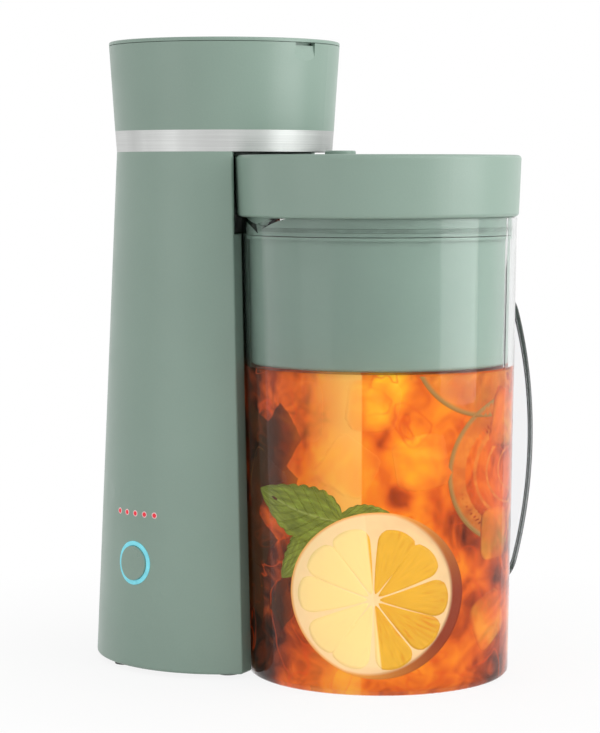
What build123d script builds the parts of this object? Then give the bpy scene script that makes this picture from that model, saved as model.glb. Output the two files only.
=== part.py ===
"""Iced tea maker: a brewing tower with a clear, lidded pitcher docked beside it.

Millimetres. +X points from the tower's axis to the pitcher's axis, -Y to the front and +Z up.
The origin lies on the counter, under the middle of the whole footprint. Pieces are drawn about
the axis of the tower or of the pitcher that carries them, and are placed when they are written.
"""
from build123d import *
from math import cos, degrees, radians, sin
import os

# Layout in plan
AXIS_SPACING = 87.5
DOCK_GAP = 0.9
LID_DOCK_GAP = 1.5
DOCK_STEP_Z = 221.0

# Tower casing
CASE_BASE_R = 67.5
CASE_TOP_R = 55.6
CASE_BOTTOM_Z = 2.5
CASE_TOP_Z = 262.0
CASE_WALL = 2.6
CASE_EDGE = 1.2
JAMB_BASE_AZ = 55.2
JAMB_TOP_AZ = 58.6

# Head on top of the casing
BAND_TOP_Z = 272.7
BAND_TOP_R = 56.4
BAND_THICK = 1.1
HEAD_RIM_Z = 315.9
HEAD_RIM_R = 59.3
HEAD_WALL = 2.6
HEAD_FLOOR = 3.0
LEDGE_DEPTH = 12.9
LEDGE_THICK = 2.5
LEDGE_REACH = 2.2
NOTCH_AZ = -19.0
NOTCH_WIDTH = 13.5
NOTCH_HEIGHT = 9.0
NOTCH_REACH = 1.7
NOTCH_SLOT_HEIGHT = 1.4
NOTCH_SLOT_REACH = 3.4

# Fill lid and its hinge
LID_GAP = 0.3
FILL_LID_RISE = 2.1
FILL_LID_EDGE = 0.8
HINGE_AZ = NOTCH_AZ + 180.0
HINGE_INSET = 12.3
HINGE_RISE = 0.1
BARREL_R = 2.0
BARREL_LENGTH = 48.0
EAR_LENGTH = 6.0
EAR_GAP = 0.35
HINGE_SLOT = 0.7
PIN_R = 0.9
PIN_GAP = 0.05
SKIRT_DEPTH = 6.0
SKIRT_WALL = 1.6
SKIRT_GAP = 0.7
SKIRT_FROM_HINGE = 14.0

# Water tank
TANK_WALL = 2.0
TANK_BOTTOM_Z = 106.0
TANK_CASE_GAP = 1.6
TANK_RISER_GAP = 1.2
TANK_BOWL_Z = 280.0
TANK_RIM_GAP = 0.5
TANK_FLANGE = 1.8
STUB_R = 4.0
STRAINER_HEIGHT = 8.0
STRAINER_SLOT_WIDTH = 1.4
STUB_BORE_R = 2.6
STUB_LENGTH = 9.0
STUB_SETBACK = 14.5
STUB_Y = -28.0

# Water path
HOSE_R = 5.2
RISER_R = 3.5
RISER_WALL_GAP = 2.1
RISER_BORE_R = 2.2
RISER_RUN_Z = 272.0
RISER_BEND = 10.0
RISER_BEND_RISE = 34.0
RISER_CROSS_RISE = 72.0
NOZZLE_X = 43.0
NOZZLE_R = 5.5
NOZZLE_BORE_R = 2.2
VALVE_R = 7.0
VALVE_LENGTH = 18.0
VALVE_TOP_Z = 70.0
VALVE_X = 13.5

# Heater
HEATER_X = -16.0
HEATER_BEND_R = 28.0
HEATER_LEG = 18.0
WATER_TUBE_Z = 34.0
WATER_TUBE_R = 4.4
WATER_BORE_R = 3.0
ELEMENT_Z = 24.5
ELEMENT_R = 3.9
WEB_THICK = 4.0
TERMINAL_R = 1.5
TERMINAL_LENGTH = 7.0
BRACKET_THICK = 1.2
BRACKET_WIDTH = 20.0
BRACKET_HALF_SPAN = 36.0
BRACKET_FOOT = 9.0
THERMOSTAT_R = 8.5
THERMOSTAT_HEIGHT = 8.0
FUSE_R = 2.6
FUSE_LENGTH = 18.0

# Base plate, feet and screws
PLATE_Z = 3.0
PLATE_THICK = 2.5
PLATE_GAP = 0.4
FOOT_R = 6.2
FRONT_FOOT_INSET = 15.7
FRONT_FOOT_AZ = 61.0
REAR_FOOT_INSET = 9.9
REAR_FOOT_AZ = 126.0
SCREW_INSET = 13.0
SCREW_AZIMUTHS = (-162.0, -96.0, 96.0, 162.0)
SCREW_R = 1.5
SCREW_HEAD_R = 3.2
SCREW_HEAD = 1.6
SCREW_LENGTH = 11.0
BOSS_R = 4.2
BOSS_HEIGHT = 16.0
VENT_COUNT = 7
VENT_PITCH = 6.0
VENT_WIDTH = 2.4
VENT_LENGTH = 26.0

# Control panel on the casing
PANEL_AZ = -107.6
BUTTON_Z = 55.5
BUTTON_HOLE_R = 11.0
RING_BORE_R = 8.9
RING_PROUD = 0.4
RING_DEPTH = 10.0
RING_LIP = 4.5
CAP_R = 8.6
CAP_PROUD = 1.3
CAP_FLANGE_R = 9.9
CAP_FLANGE = 1.4
CAP_FLANGE_GAP = 0.15
STEM_R = 2.4
BUTTON_TRAVEL = 1.2
SWITCH_GAP = 1.5
LED_COUNT = 5
LED_PITCH = 6.4
LED_R = 1.65
LED_PROUD = 0.3
LED_GAP = 0.2
LED_Z = 80.5
BOARD_SETBACK = 18.5
BOARD_THICK = 1.6
BOARD_WIDTH = 40.0
BOARD_BOTTOM_Z = 36.0
BOARD_TOP_Z = 94.0
BOARD_BOSS_R = 3.0
BOARD_SCREW_R = 1.1
BOARD_SCREW_INSET = 4.0
RELAY_SIZE = (12.0, 15.0, 19.0)
RELAY_SIDE = 6.0
RELAY_RISE = 20.0
SWITCH_SIZE = 6.0
SWITCH_HEIGHT = 3.6
PLUNGER_R = 1.7

# Cord inlet
BUSHING_Z = 17.0
BUSHING_R = 6.0
BUSHING_FLANGE_R = 7.6
BUSHING_FLANGE = 1.6
BUSHING_BORE_R = 3.6
BUSHING_INSIDE = 5.0

# Pitcher jug
JUG_BASE_R = 65.9
JUG_RIM_R = 69.0
JUG_RIM_Z = 229.5
JUG_WALL = 3.0
JUG_RIM_WALL = 1.9
JUG_FLOOR = 3.6
JUG_CORNER = 2.5
JUG_INNER_CORNER = 4.0
FOOT_RECESS_R = 54.0
FOOT_RECESS = 1.2
BASKET_LEDGE_Z = 219.0
BEAK_AZ = -126.3
BEAK_HALF_ANGLE = 26.4
BEAK_NOSE_R = 73.2
BEAK_CHEEK_R = 71.4
BEAK_TIP_Z = 218.8
BEAK_WALL = 2.0

# Handle strap
HANDLE_AZ = 70.0
HANDLE_WIDTH = 28.0
HANDLE_THICK = 5.0
HANDLE_OUT_R = 104.5
HANDLE_SHOULDER_R = 86.0
HANDLE_TOP_Z = 187.6
HANDLE_BOTTOM_Z = 38.0
HANDLE_CORNER = 14.0
HANDLE_EDGE = 1.4

# Brew basket and filter
BASKET_GAP = 0.9
BASKET_BOTTOM_Z = 156.5
BASKET_WALL = 2.0
BASKET_FLOOR = 2.4
BASKET_FLANGE = 1.6
BASKET_FLANGE_GAP = 0.4
DRIP_SLOTS = 16
DRIP_SLOT_WIDTH = 3.0
DRIP_INNER_R = 14.0
DRIP_OUTER_R = 48.0
FILTER_GAP = 1.2
FILTER_TOP_Z = 217.0
FILTER_WALL = 1.4
FILTER_FLOOR_R = 50.0
FILTER_WINDOWS = 10
FILTER_RIB_ANGLE = 9.0
FILTER_SILL = 9.0
FILTER_FLOOR_RIM = 6.0
FILTER_HUB_R = 12.0
MESH_THICK = 0.6
MESH_GAP = 0.05

# Pitcher lid
CAP_GAP = 0.3
CAP_TOP_Z = 260.3
CAP_TOP_OVERHANG = 2.0
CAP_BOTTOM_OVERHANG = 0.8
CAP_BEAK_REACH = 1.8
CAP_EDGE = 2.0
CAP_PLATE = 2.6
CAP_WALL = 2.4
CAP_SHOULDER = 2.2
PLUG_GAP = 0.5
PLUG_WALL = 2.6
PLUG_BOTTOM_Z = 221.0
PLUG_WINDOW_TURN = 45.0
PLUG_SLITS = 5
PLUG_SLIT_ANGLE = 3.2
PLUG_SLIT_PITCH = 6.0
PLUG_WINDOW_Z = 226.0
SEAL_Z = 222.9
SEAL_HEIGHT = 2.0
SEAL_DEPTH = 1.2
SEAL_WALL_GAP = 0.15
INLET_R = 7.5
INLET_COLLAR = 2.0
INLET_COLLAR_DEPTH = 8.0
SHOWER_Z = 240.0
SHOWER_THICK = 1.6
SHOWER_R = 58.0
SHOWER_HOLES = 14
SHOWER_HOLE_R = 1.6
SHOWER_RING_R = 44.0
POST_R = 3.0
POST_RING_R = 30.0
POST_AZIMUTHS = (-60.0, 60.0, 120.0, -120.0)

# Strength selector knob
KNOB_X = -21.5
KNOB_R = 7.8
KNOB_GAP = 0.3
KNOB_HEIGHT = 2.0
KNOB_SLOT = 1.6
STEM_GAP = 0.3
KNOB_STEM_R = 3.0
KNOB_DISC_R = 6.4
KNOB_DISC = 2.0

# Sizes that follow
HANDLE_REACH_Y = HANDLE_OUT_R * sin(radians(HANDLE_AZ)) + HANDLE_WIDTH / 2 * cos(radians(HANDLE_AZ))
CAP_TOP_R = JUG_RIM_R + CAP_TOP_OVERHANG
CAP_BOTTOM_R = JUG_RIM_R + CAP_BOTTOM_OVERHANG
TOWER_X = -(AXIS_SPACING + CAP_TOP_R - CASE_BASE_R) / 2
ROW_Y = -(HANDLE_REACH_Y - CAP_TOP_R) / 2
CAP_REACH_X = CAP_TOP_R - CAP_BEAK_REACH * cos(radians(BEAK_AZ))
RISER_X = AXIS_SPACING - CAP_REACH_X - LID_DOCK_GAP - CASE_WALL - RISER_WALL_GAP - RISER_R
STUB_X = RISER_X - STUB_SETBACK
NECK_R = CASE_TOP_R - BAND_THICK
SCREW_RING_R = CASE_BASE_R - SCREW_INSET
BOARD_R = CASE_BASE_R - BOARD_SETBACK
HINGE_R = HEAD_RIM_R - HINGE_INSET
HINGE_Z = HEAD_RIM_Z + HINGE_RISE
FILL_LID_TOP_Z = HEAD_RIM_Z + FILL_LID_RISE
LEDGE_TOP_Z = HEAD_RIM_Z - LEDGE_DEPTH
PLATE_TOP_Z = PLATE_Z + PLATE_THICK
FLOOR_TOP_Z = CASE_TOP_Z + HEAD_FLOOR
LID_UNDER_Z = HEAD_RIM_Z + LID_GAP
CAP_BOTTOM_Z = JUG_RIM_Z + CAP_GAP
FAR = 400.0


# ---------------------------------------------------------------- shared shapes
def frustum(low_r, low_z, high_r, high_z):
    """A round solid about Z whose radius runs from low_r at low_z to high_r at high_z."""
    solid = Cone(low_r, high_r, high_z - low_z, align=(Align.CENTER, Align.CENTER, Align.MIN))
    return Pos(0, 0, low_z) * solid


def disc(radius, low_z, high_z):
    """An upright cylinder about Z between two heights."""
    solid = Cylinder(radius, high_z - low_z, align=(Align.CENTER, Align.CENTER, Align.MIN))
    return Pos(0, 0, low_z) * solid


def ring(outer_r, inner_r, low_z, high_z):
    """An upright ring about Z."""
    return disc(outer_r, low_z, high_z) - disc(inner_r, low_z - 1, high_z + 1)


def spun(points):
    """A solid of revolution about Z from (radius, height) points."""
    return revolve(Plane.XZ * make_face(Polyline(*points, close=True)), Axis.Z)


def at_azimuth(azimuth, radius, height=0.0):
    """A location at a radius and height, turned so that its own +X points outward."""
    return Rot(0, 0, azimuth) * Pos(radius, 0, height)


def radial_rod(rod_r, azimuth, inner_r, outer_r, height):
    """A rod that lies along a radius of the tower."""
    rod = Cylinder(rod_r, outer_r - inner_r, align=(Align.CENTER, Align.CENTER, Align.MIN))
    return at_azimuth(azimuth, inner_r, height) * Rot(0, 90, 0) * rod


def tube(path, outer_r, inner_r=0.0):
    """A pipe, or a solid rod, along a path."""
    section_plane = Plane(origin=path @ 0, z_dir=path % 0)
    pipe = sweep(section_plane * Circle(outer_r), path=path)
    return pipe - sweep(section_plane * Circle(inner_r), path=path) if inner_r else pipe


# ---------------------------------------------------------------- sizes that vary with height
def jug_r(height):
    """Outer radius of the jug at a height."""
    return JUG_BASE_R + (JUG_RIM_R - JUG_BASE_R) * height / JUG_RIM_Z


def case_r(height):
    """Outer radius of the tower casing at a height."""
    share = (height - CASE_BOTTOM_Z) / (CASE_TOP_Z - CASE_BOTTOM_Z)
    return CASE_BASE_R + (CASE_TOP_R - CASE_BASE_R) * share


def head_r(height):
    """Outer radius of the flared head at a height."""
    share = (height - BAND_TOP_Z) / (HEAD_RIM_Z - BAND_TOP_Z)
    return BAND_TOP_R + (HEAD_RIM_R - BAND_TOP_R) * share


def cap_form(low_r, low_z, high_r, high_z):
    """A frustum about the pitcher's axis, drawn out over the beak as the pitcher's lid is."""
    ends = [
        Pos(CAP_BEAK_REACH / 2, 0, height) * SlotCenterToCenter(CAP_BEAK_REACH, 2 * radius)
        for radius, height in ((low_r, low_z), (high_r, high_z))
    ]
    return Rot(0, 0, BEAK_AZ) * loft(ends, ruled=True)


# ---------------------------------------------------------------- tower casing
def dock_space(setback=0.0):
    """The round space that the pitcher stands in, with its wall set back into the tower."""
    step_z = DOCK_STEP_Z - setback
    lower = frustum(
        jug_r(0) + DOCK_GAP + setback, 0, jug_r(step_z) + DOCK_GAP + setback, step_z
    )
    upper_r = CAP_TOP_R + LID_DOCK_GAP + setback
    upper = cap_form(upper_r, step_z, upper_r, HEAD_RIM_Z)
    return Pos(AXIS_SPACING, 0, 0) * (lower + upper)


def jamb_space(setback=0.0):
    """Everything beyond the leaning plane that ends the casing on both sides of the dock."""
    base_x = CASE_BASE_R * cos(radians(JAMB_BASE_AZ))
    top_x = CASE_TOP_R * cos(radians(JAMB_TOP_AZ))
    lean = (top_x - base_x) / (CASE_TOP_Z - CASE_BOTTOM_Z)
    low_x = base_x - lean * CASE_BOTTOM_Z - setback
    high_x = low_x + lean * FAR
    outline = make_face(Polyline((low_x, 0), (FAR, 0), (FAR, FAR), (high_x, FAR), close=True))
    return extrude(Plane.XZ * outline, FAR / 2, both=True)


def tower_form(setback, low_z, high_z, dock_setback=None):
    """The casing's crescent form between two heights, set back from its outer faces."""
    dock = setback if dock_setback is None else dock_setback
    body = frustum(case_r(low_z) - setback, low_z, case_r(high_z) - setback, high_z)
    return body - dock_space(dock) - jamb_space(setback)


def tower_shell():
    """The moulded casing, open below and above, with its screw bosses and panel holes."""
    outer = tower_form(0, CASE_BOTTOM_Z, CASE_TOP_Z)
    tall = DOCK_STEP_Z - 2 * CASE_BOTTOM_Z
    corners = outer.edges().filter_by(lambda edge: edge.bounding_box().size.Z > tall)
    outer = fillet(corners, CASE_EDGE)
    outer = fillet(outer.faces().sort_by(Axis.Z)[0].edges(), CASE_EDGE)
    inner = tower_form(CASE_WALL, CASE_BOTTOM_Z - 1, CASE_TOP_Z + 1)
    shell = outer - inner
    boss = disc(BOSS_R, PLATE_TOP_Z, PLATE_TOP_Z + BOSS_HEIGHT)
    web = Pos(0, 0, PLATE_TOP_Z + BOSS_HEIGHT / 2) * Box(
        2 * BOSS_R, CASE_WALL, BOSS_HEIGHT, align=(Align.MIN, Align.CENTER, Align.CENTER)
    )
    for azimuth in SCREW_AZIMUTHS:
        place = at_azimuth(azimuth, SCREW_RING_R)
        shell += (place * (boss + Pos(BOSS_R / 2, 0, 0) * web)) & outer
        shell -= place * disc(SCREW_R, PLATE_Z, PLATE_Z + SCREW_LENGTH + 1)
    for side, height in board_corners():
        boss = board_place(side, height) * Cylinder(
            BOARD_BOSS_R, CASE_BASE_R - BOARD_R, align=(Align.CENTER, Align.CENTER, Align.MIN)
        )
        shell += boss & outer
        shell -= board_place(side, height) * Cylinder(BOARD_SCREW_R, 12.0)
    shell -= radial_rod(BUTTON_HOLE_R, PANEL_AZ, BOARD_R + 3, CASE_BASE_R + 5, BUTTON_Z)
    for turn in led_turns():
        shell -= radial_rod(LED_R, PANEL_AZ + turn, BOARD_R + 3, CASE_BASE_R + 5, LED_Z)
    shell -= radial_rod(BUSHING_R, 180, CASE_BASE_R - 8, CASE_BASE_R + 5, BUSHING_Z)
    return shell


def base_plate():
    """The closing plate under the casing, with vents, screw holes and pockets for the feet."""
    plate = tower_form(CASE_WALL + PLATE_GAP, PLATE_Z, PLATE_TOP_Z)
    for azimuth in SCREW_AZIMUTHS:
        hole = disc(SCREW_R, 0, CASE_BASE_R) + disc(SCREW_HEAD_R, 0, PLATE_Z + SCREW_HEAD)
        plate -= at_azimuth(azimuth, SCREW_RING_R) * hole
    for index in range(VENT_COUNT):
        offset = (index - (VENT_COUNT - 1) / 2) * VENT_PITCH
        slot = Pos(HEATER_X + offset, 0, PLATE_Z) * SlotOverall(VENT_LENGTH, VENT_WIDTH, rotation=90)
        plate -= extrude(slot, PLATE_THICK)
    return plate


def rubber_feet():
    """Four turned rubber feet under the base plate."""
    foot = frustum(FOOT_R - 0.8, 0, FOOT_R, PLATE_Z)
    return Compound([
        at_azimuth(side * azimuth, CASE_BASE_R - inset) * foot
        for azimuth, inset in (
            (FRONT_FOOT_AZ, FRONT_FOOT_INSET), (REAR_FOOT_AZ, REAR_FOOT_INSET)
        )
        for side in (-1, 1)
    ])


def base_screws():
    """The screws that hold the base plate to the casing's bosses."""
    screw = disc(SCREW_HEAD_R - 0.3, PLATE_Z + 0.2, PLATE_Z + SCREW_HEAD)
    screw += disc(SCREW_R - 0.1, PLATE_Z + 0.2, PLATE_Z + SCREW_LENGTH)
    return Compound([at_azimuth(azimuth, SCREW_RING_R) * screw for azimuth in SCREW_AZIMUTHS])


# ---------------------------------------------------------------- head
def steel_band():
    """The trim ring round the head's neck."""
    outer = frustum(CASE_TOP_R, CASE_TOP_Z, BAND_TOP_R, BAND_TOP_Z)
    return outer - disc(NECK_R + 0.05, CASE_TOP_Z - 1, BAND_TOP_Z + 1)


def head_shell():
    """The flared head: floor over the pitcher's lid, neck, wall, tank ledge and hinge deck."""
    ledge_wall = head_r(LEDGE_TOP_Z) - HEAD_WALL
    head = spun([
        (0, CASE_TOP_Z),
        (NECK_R, CASE_TOP_Z),
        (NECK_R, BAND_TOP_Z),
        (BAND_TOP_R, BAND_TOP_Z),
        (HEAD_RIM_R, HEAD_RIM_Z),
        (HEAD_RIM_R - HEAD_WALL, HEAD_RIM_Z),
        (ledge_wall, LEDGE_TOP_Z),
        (ledge_wall - LEDGE_REACH, LEDGE_TOP_Z),
        (ledge_wall - LEDGE_REACH, LEDGE_TOP_Z - LEDGE_THICK),
        (head_r(LEDGE_TOP_Z - LEDGE_THICK - LEDGE_REACH) - HEAD_WALL,
         LEDGE_TOP_Z - LEDGE_THICK - LEDGE_REACH),
        (BAND_TOP_R - HEAD_WALL, BAND_TOP_Z + HEAD_WALL),
        (NECK_R - HEAD_WALL, BAND_TOP_Z),
        (NECK_R - HEAD_WALL, FLOOR_TOP_Z),
        (0, FLOOR_TOP_Z),
    ])
    well = tower_form(CASE_WALL, CASE_TOP_Z - 1, FLOOR_TOP_Z + 1)
    head -= well & disc(NECK_R - HEAD_WALL, 0, BAND_TOP_Z)
    head -= Pos(NOZZLE_X, 0, 0) * disc(NOZZLE_R, CASE_TOP_Z - 1, FLOOR_TOP_Z + 1)
    head += rear_deck()
    head -= hinge_place() * barrel_space()
    for side in (-1, 1):
        head += hinge_place() * hinge_ear(side)
    head -= hinge_place() * pin_bore()
    return head - finger_scoop()


def finger_scoop():
    """The space of the finger notch: a slot through the rim and a scoop running out below it."""
    low_z = HEAD_RIM_Z - NOTCH_HEIGHT
    profile = Plane.XZ * make_face(Polyline(
        (HEAD_RIM_R - NOTCH_REACH, HEAD_RIM_Z + 1), (head_r(low_z), low_z),
        (HEAD_RIM_R + 5, low_z), (HEAD_RIM_R + 5, HEAD_RIM_Z + 1), close=True,
    ))
    scoop = extrude(profile, NOTCH_WIDTH / 2, both=True)
    slot = Pos(HEAD_RIM_R, 0, HEAD_RIM_Z) * Box(2 * NOTCH_SLOT_REACH, NOTCH_WIDTH, 2 * NOTCH_SLOT_HEIGHT)
    return Rot(0, 0, NOTCH_AZ) * (scoop + slot)


def hinge_place():
    """The middle of the hinge axis, with its own +X pointing away from the tower's axis."""
    return at_azimuth(HINGE_AZ, HINGE_R, HINGE_Z)


def rear_deck():
    """The fixed part of the head's top behind the hinge line."""
    disc_top = fillet(
        disc(HEAD_RIM_R, HEAD_RIM_Z - HEAD_WALL, FILL_LID_TOP_Z).edges().sort_by(Axis.Z)[-1],
        FILL_LID_EDGE,
    )
    behind = Pos(BARREL_R + HINGE_SLOT, 0, 0) * Box(
        FAR, FAR, FAR, align=(Align.MIN, Align.CENTER, Align.CENTER)
    )
    return disc_top & (at_azimuth(HINGE_AZ, HINGE_R, HINGE_Z) * behind)


def along_hinge(radius, low_t, high_t):
    """A cylinder on the hinge axis between two places along it."""
    solid = Cylinder(radius, high_t - low_t, align=(Align.CENTER, Align.CENTER, Align.MIN))
    return Pos(0, low_t, 0) * Rot(-90, 0, 0) * solid


def barrel_space():
    """The room that the lid's barrel turns in."""
    half = BARREL_LENGTH / 2 + EAR_GAP
    return along_hinge(BARREL_R + HINGE_SLOT, -half, half)


def hinge_ear(side):
    """One fixed ear that holds an end of the hinge pin, with its web back to the deck."""
    low = BARREL_LENGTH / 2 + EAR_GAP
    ear = along_hinge(BARREL_R, low, low + EAR_LENGTH)
    web = Pos(0, low, -BARREL_R) * Box(
        BARREL_R + HINGE_SLOT + 1, EAR_LENGTH, 2 * BARREL_R - 0.6,
        align=(Align.MIN, Align.MIN, Align.MIN),
    )
    solid = ear + web
    return solid if side > 0 else mirror(solid, Plane.XZ)


def pin_bore():
    """The bore for the hinge pin through both ears."""
    half = BARREL_LENGTH / 2 + EAR_GAP + EAR_LENGTH
    return along_hinge(PIN_R, -half - 1, half + 1)


def hinge_pin():
    """The steel pin of the fill lid's hinge."""
    half = BARREL_LENGTH / 2 + EAR_GAP + EAR_LENGTH
    return hinge_place() * along_hinge(PIN_R - 0.01, -half, half)


def top_lid():
    """The fill lid: plate, locating skirt and hinge barrel."""
    plate = fillet(
        disc(HEAD_RIM_R, LID_UNDER_Z, FILL_LID_TOP_Z).edges().sort_by(Axis.Z)[-1], FILL_LID_EDGE
    )
    ahead = Box(FAR, FAR, FAR, align=(Align.MAX, Align.CENTER, Align.CENTER))
    plate = plate & (hinge_place() * ahead)
    skirt_r = head_r(LID_UNDER_Z - SKIRT_DEPTH) - HEAD_WALL - SKIRT_GAP
    skirt = ring(skirt_r, skirt_r - SKIRT_WALL, LID_UNDER_Z - SKIRT_DEPTH, LID_UNDER_Z)
    skirt = skirt & (hinge_place() * Pos(-SKIRT_FROM_HINGE, 0, 0) * ahead)
    half = BARREL_LENGTH / 2
    room = along_hinge(BARREL_R + HINGE_SLOT, half, half + EAR_GAP + EAR_LENGTH + EAR_GAP)
    plate -= hinge_place() * (room + mirror(room, Plane.XZ))
    barrel = along_hinge(BARREL_R, -half, half)
    lid = plate + skirt + hinge_place() * barrel
    return lid - hinge_place() * along_hinge(PIN_R + PIN_GAP, -half - 1, half + 1)


# ---------------------------------------------------------------- tank and water path
def tank_form(inset, low_z):
    """The tank's outer form: a crescent well in the casing under a round bowl in the head."""
    dock_face_x = AXIS_SPACING - jug_r(TANK_BOTTOM_Z) - DOCK_GAP
    dock_setback = dock_face_x - (RISER_X - RISER_R - TANK_RISER_GAP) + inset
    well = tower_form(CASE_WALL + TANK_CASE_GAP + inset, low_z, CASE_TOP_Z, dock_setback)
    top = well.faces().sort_by(Axis.Z)[-1]
    return well + extrude(top, TANK_BOWL_Z + TANK_WALL / 2 + inset - CASE_TOP_Z)


def water_tank():
    """The water tank, open at the top, with its flange on the head's ledge."""
    ledge_inner = head_r(LEDGE_TOP_Z) - HEAD_WALL - LEDGE_REACH
    bowl_low = head_r(TANK_BOWL_Z) - HEAD_WALL - TANK_CASE_GAP - TANK_RIM_GAP
    bowl_high = ledge_inner - TANK_RIM_GAP
    bowl = frustum(bowl_low - 2, TANK_BOWL_Z, bowl_high, LEDGE_TOP_Z)
    hollow = frustum(
        bowl_low - 2 - TANK_WALL, TANK_BOWL_Z + TANK_WALL,
        bowl_high - TANK_WALL, LEDGE_TOP_Z + TANK_FLANGE,
    )
    flange = disc(ledge_inner + LEDGE_REACH - TANK_RIM_GAP, LEDGE_TOP_Z, LEDGE_TOP_Z + TANK_FLANGE)
    stub = Pos(STUB_X, STUB_Y, 0) * disc(STUB_R, TANK_BOTTOM_Z - STUB_LENGTH, TANK_BOTTOM_Z + 1)
    bore = Pos(STUB_X, STUB_Y, 0) * disc(
        STUB_BORE_R, TANK_BOTTOM_Z - STUB_LENGTH - 1, TANK_BOTTOM_Z + TANK_WALL + 1
    )
    outer = tank_form(0, TANK_BOTTOM_Z) + bowl + flange + stub
    inner = tank_form(TANK_WALL, TANK_BOTTOM_Z + TANK_WALL) + hollow
    return outer - inner - bore


def tank_strainer():
    """The small domed strainer over the tank's outlet."""
    base_z = TANK_BOTTOM_Z + TANK_WALL
    top_z = base_z + STRAINER_HEIGHT
    cup = disc(STUB_R + 2, base_z, top_z) - disc(STUB_R + 0.6, base_z - 1, top_z - 1.4)
    slot = Pos(0, 0, base_z + STRAINER_HEIGHT / 2) * Box(
        4 * STUB_R, STRAINER_SLOT_WIDTH, STRAINER_HEIGHT / 2
    )
    for index in range(4):
        cup -= Rot(0, 0, 45 * index) * slot
    return Pos(STUB_X, STUB_Y, 0) * cup


def outlet_nozzle():
    """The elbow in the head's floor that lets the hot water fall into the pitcher's lid."""
    top_z = RISER_RUN_Z + RISER_R + 1.4
    body = disc(NOZZLE_R, CASE_TOP_Z, top_z) + disc(NOZZLE_R + 2, FLOOR_TOP_Z, FLOOR_TOP_Z + 1.5)
    body -= disc(NOZZLE_BORE_R, CASE_TOP_Z - 1, RISER_RUN_Z)
    socket = Pos(0, 0, RISER_RUN_Z) * Rot(0, -90, 0) * Cylinder(
        RISER_R, NOZZLE_R + 3, align=(Align.CENTER, Align.CENTER, Align.MIN)
    )
    inlet = Pos(0, 0, RISER_RUN_Z) * Rot(0, -90, 0) * Cylinder(
        RISER_BORE_R, NOZZLE_R, align=(Align.CENTER, Align.CENTER, Align.MIN)
    )
    return Pos(NOZZLE_X, 0, 0) * (body - Pos(-2, 0, 0) * socket - inlet)


def heater_end_x():
    """Where the heater's two straight legs end."""
    return HEATER_X + HEATER_LEG


def riser_tube():
    """The tube that carries the hot water from the heater up to the nozzle."""
    start_x = heater_end_x()
    path = FilletPolyline(
        (start_x, HEATER_BEND_R, WATER_TUBE_Z),
        (VALVE_X, HEATER_BEND_R, WATER_TUBE_Z),
        (VALVE_X, HEATER_BEND_R, WATER_TUBE_Z + RISER_BEND_RISE),
        (RISER_X, 0, WATER_TUBE_Z + RISER_CROSS_RISE),
        (RISER_X, 0, RISER_RUN_Z),
        (NOZZLE_X - 2, 0, RISER_RUN_Z),
        radius=RISER_BEND,
    )
    return tube(path, RISER_R, RISER_BORE_R)


def cold_hose():
    """The hose from the tank to the heater, in two lengths with the valve between them."""
    stub_end = TANK_BOTTOM_Z - STUB_LENGTH
    upper = FilletPolyline(
        (STUB_X, STUB_Y, stub_end),
        (STUB_X, STUB_Y, stub_end - 9),
        (VALVE_X, STUB_Y, stub_end - 17),
        (VALVE_X, STUB_Y, VALVE_TOP_Z),
        radius=5.5,
    )
    lower = FilletPolyline(
        (VALVE_X, STUB_Y, VALVE_TOP_Z - VALVE_LENGTH),
        (VALVE_X, STUB_Y, WATER_TUBE_Z),
        (heater_end_x(), -HEATER_BEND_R, WATER_TUBE_Z),
        radius=8,
    )
    return Compound([tube(path, STUB_R, STUB_BORE_R) for path in (upper, lower)])


def check_valve():
    """The one-way valve in the cold hose."""
    body = disc(VALVE_R, VALVE_TOP_Z - VALVE_LENGTH + 3, VALVE_TOP_Z - 3)
    body += disc(HOSE_R, VALVE_TOP_Z - VALVE_LENGTH, VALVE_TOP_Z)
    body -= disc(STUB_BORE_R, 0, VALVE_TOP_Z + 1)
    return Pos(VALVE_X, STUB_Y, 0) * body


# ---------------------------------------------------------------- heater
def heater_path(height, extra=0.0):
    """The horseshoe line of the heater at a height, with both legs run on by extra."""
    end_x = heater_end_x() + extra
    leg_a = Line((end_x, -HEATER_BEND_R, height), (HEATER_X, -HEATER_BEND_R, height))
    bend = ThreePointArc(
        (HEATER_X, -HEATER_BEND_R, height),
        (HEATER_X - HEATER_BEND_R, 0, height),
        (HEATER_X, HEATER_BEND_R, height),
    )
    leg_b = Line((HEATER_X, HEATER_BEND_R, height), (end_x, HEATER_BEND_R, height))
    return Wire([leg_a.edge(), bend.edge(), leg_b.edge()])


def heating_element():
    """The horseshoe heater: a water tube over a sheathed element, joined by a web."""
    water = heater_path(WATER_TUBE_Z)
    element = heater_path(ELEMENT_Z)
    pins = heater_path(ELEMENT_Z, TERMINAL_LENGTH)
    middle = heater_path((WATER_TUBE_Z + ELEMENT_Z) / 2)
    web_plane = Plane(origin=middle @ 0, z_dir=middle % 0, x_dir=(0, 0, 1))
    web = sweep(web_plane * Rectangle(WATER_TUBE_Z - ELEMENT_Z, WEB_THICK), path=middle)
    heater = tube(water, WATER_TUBE_R) + tube(element, ELEMENT_R) + web
    return heater + tube(pins, TERMINAL_R) - tube(water, WATER_BORE_R)


def bracket_top_z():
    """Height of the bracket's upper face, just under the heater."""
    return ELEMENT_Z - ELEMENT_R


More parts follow.
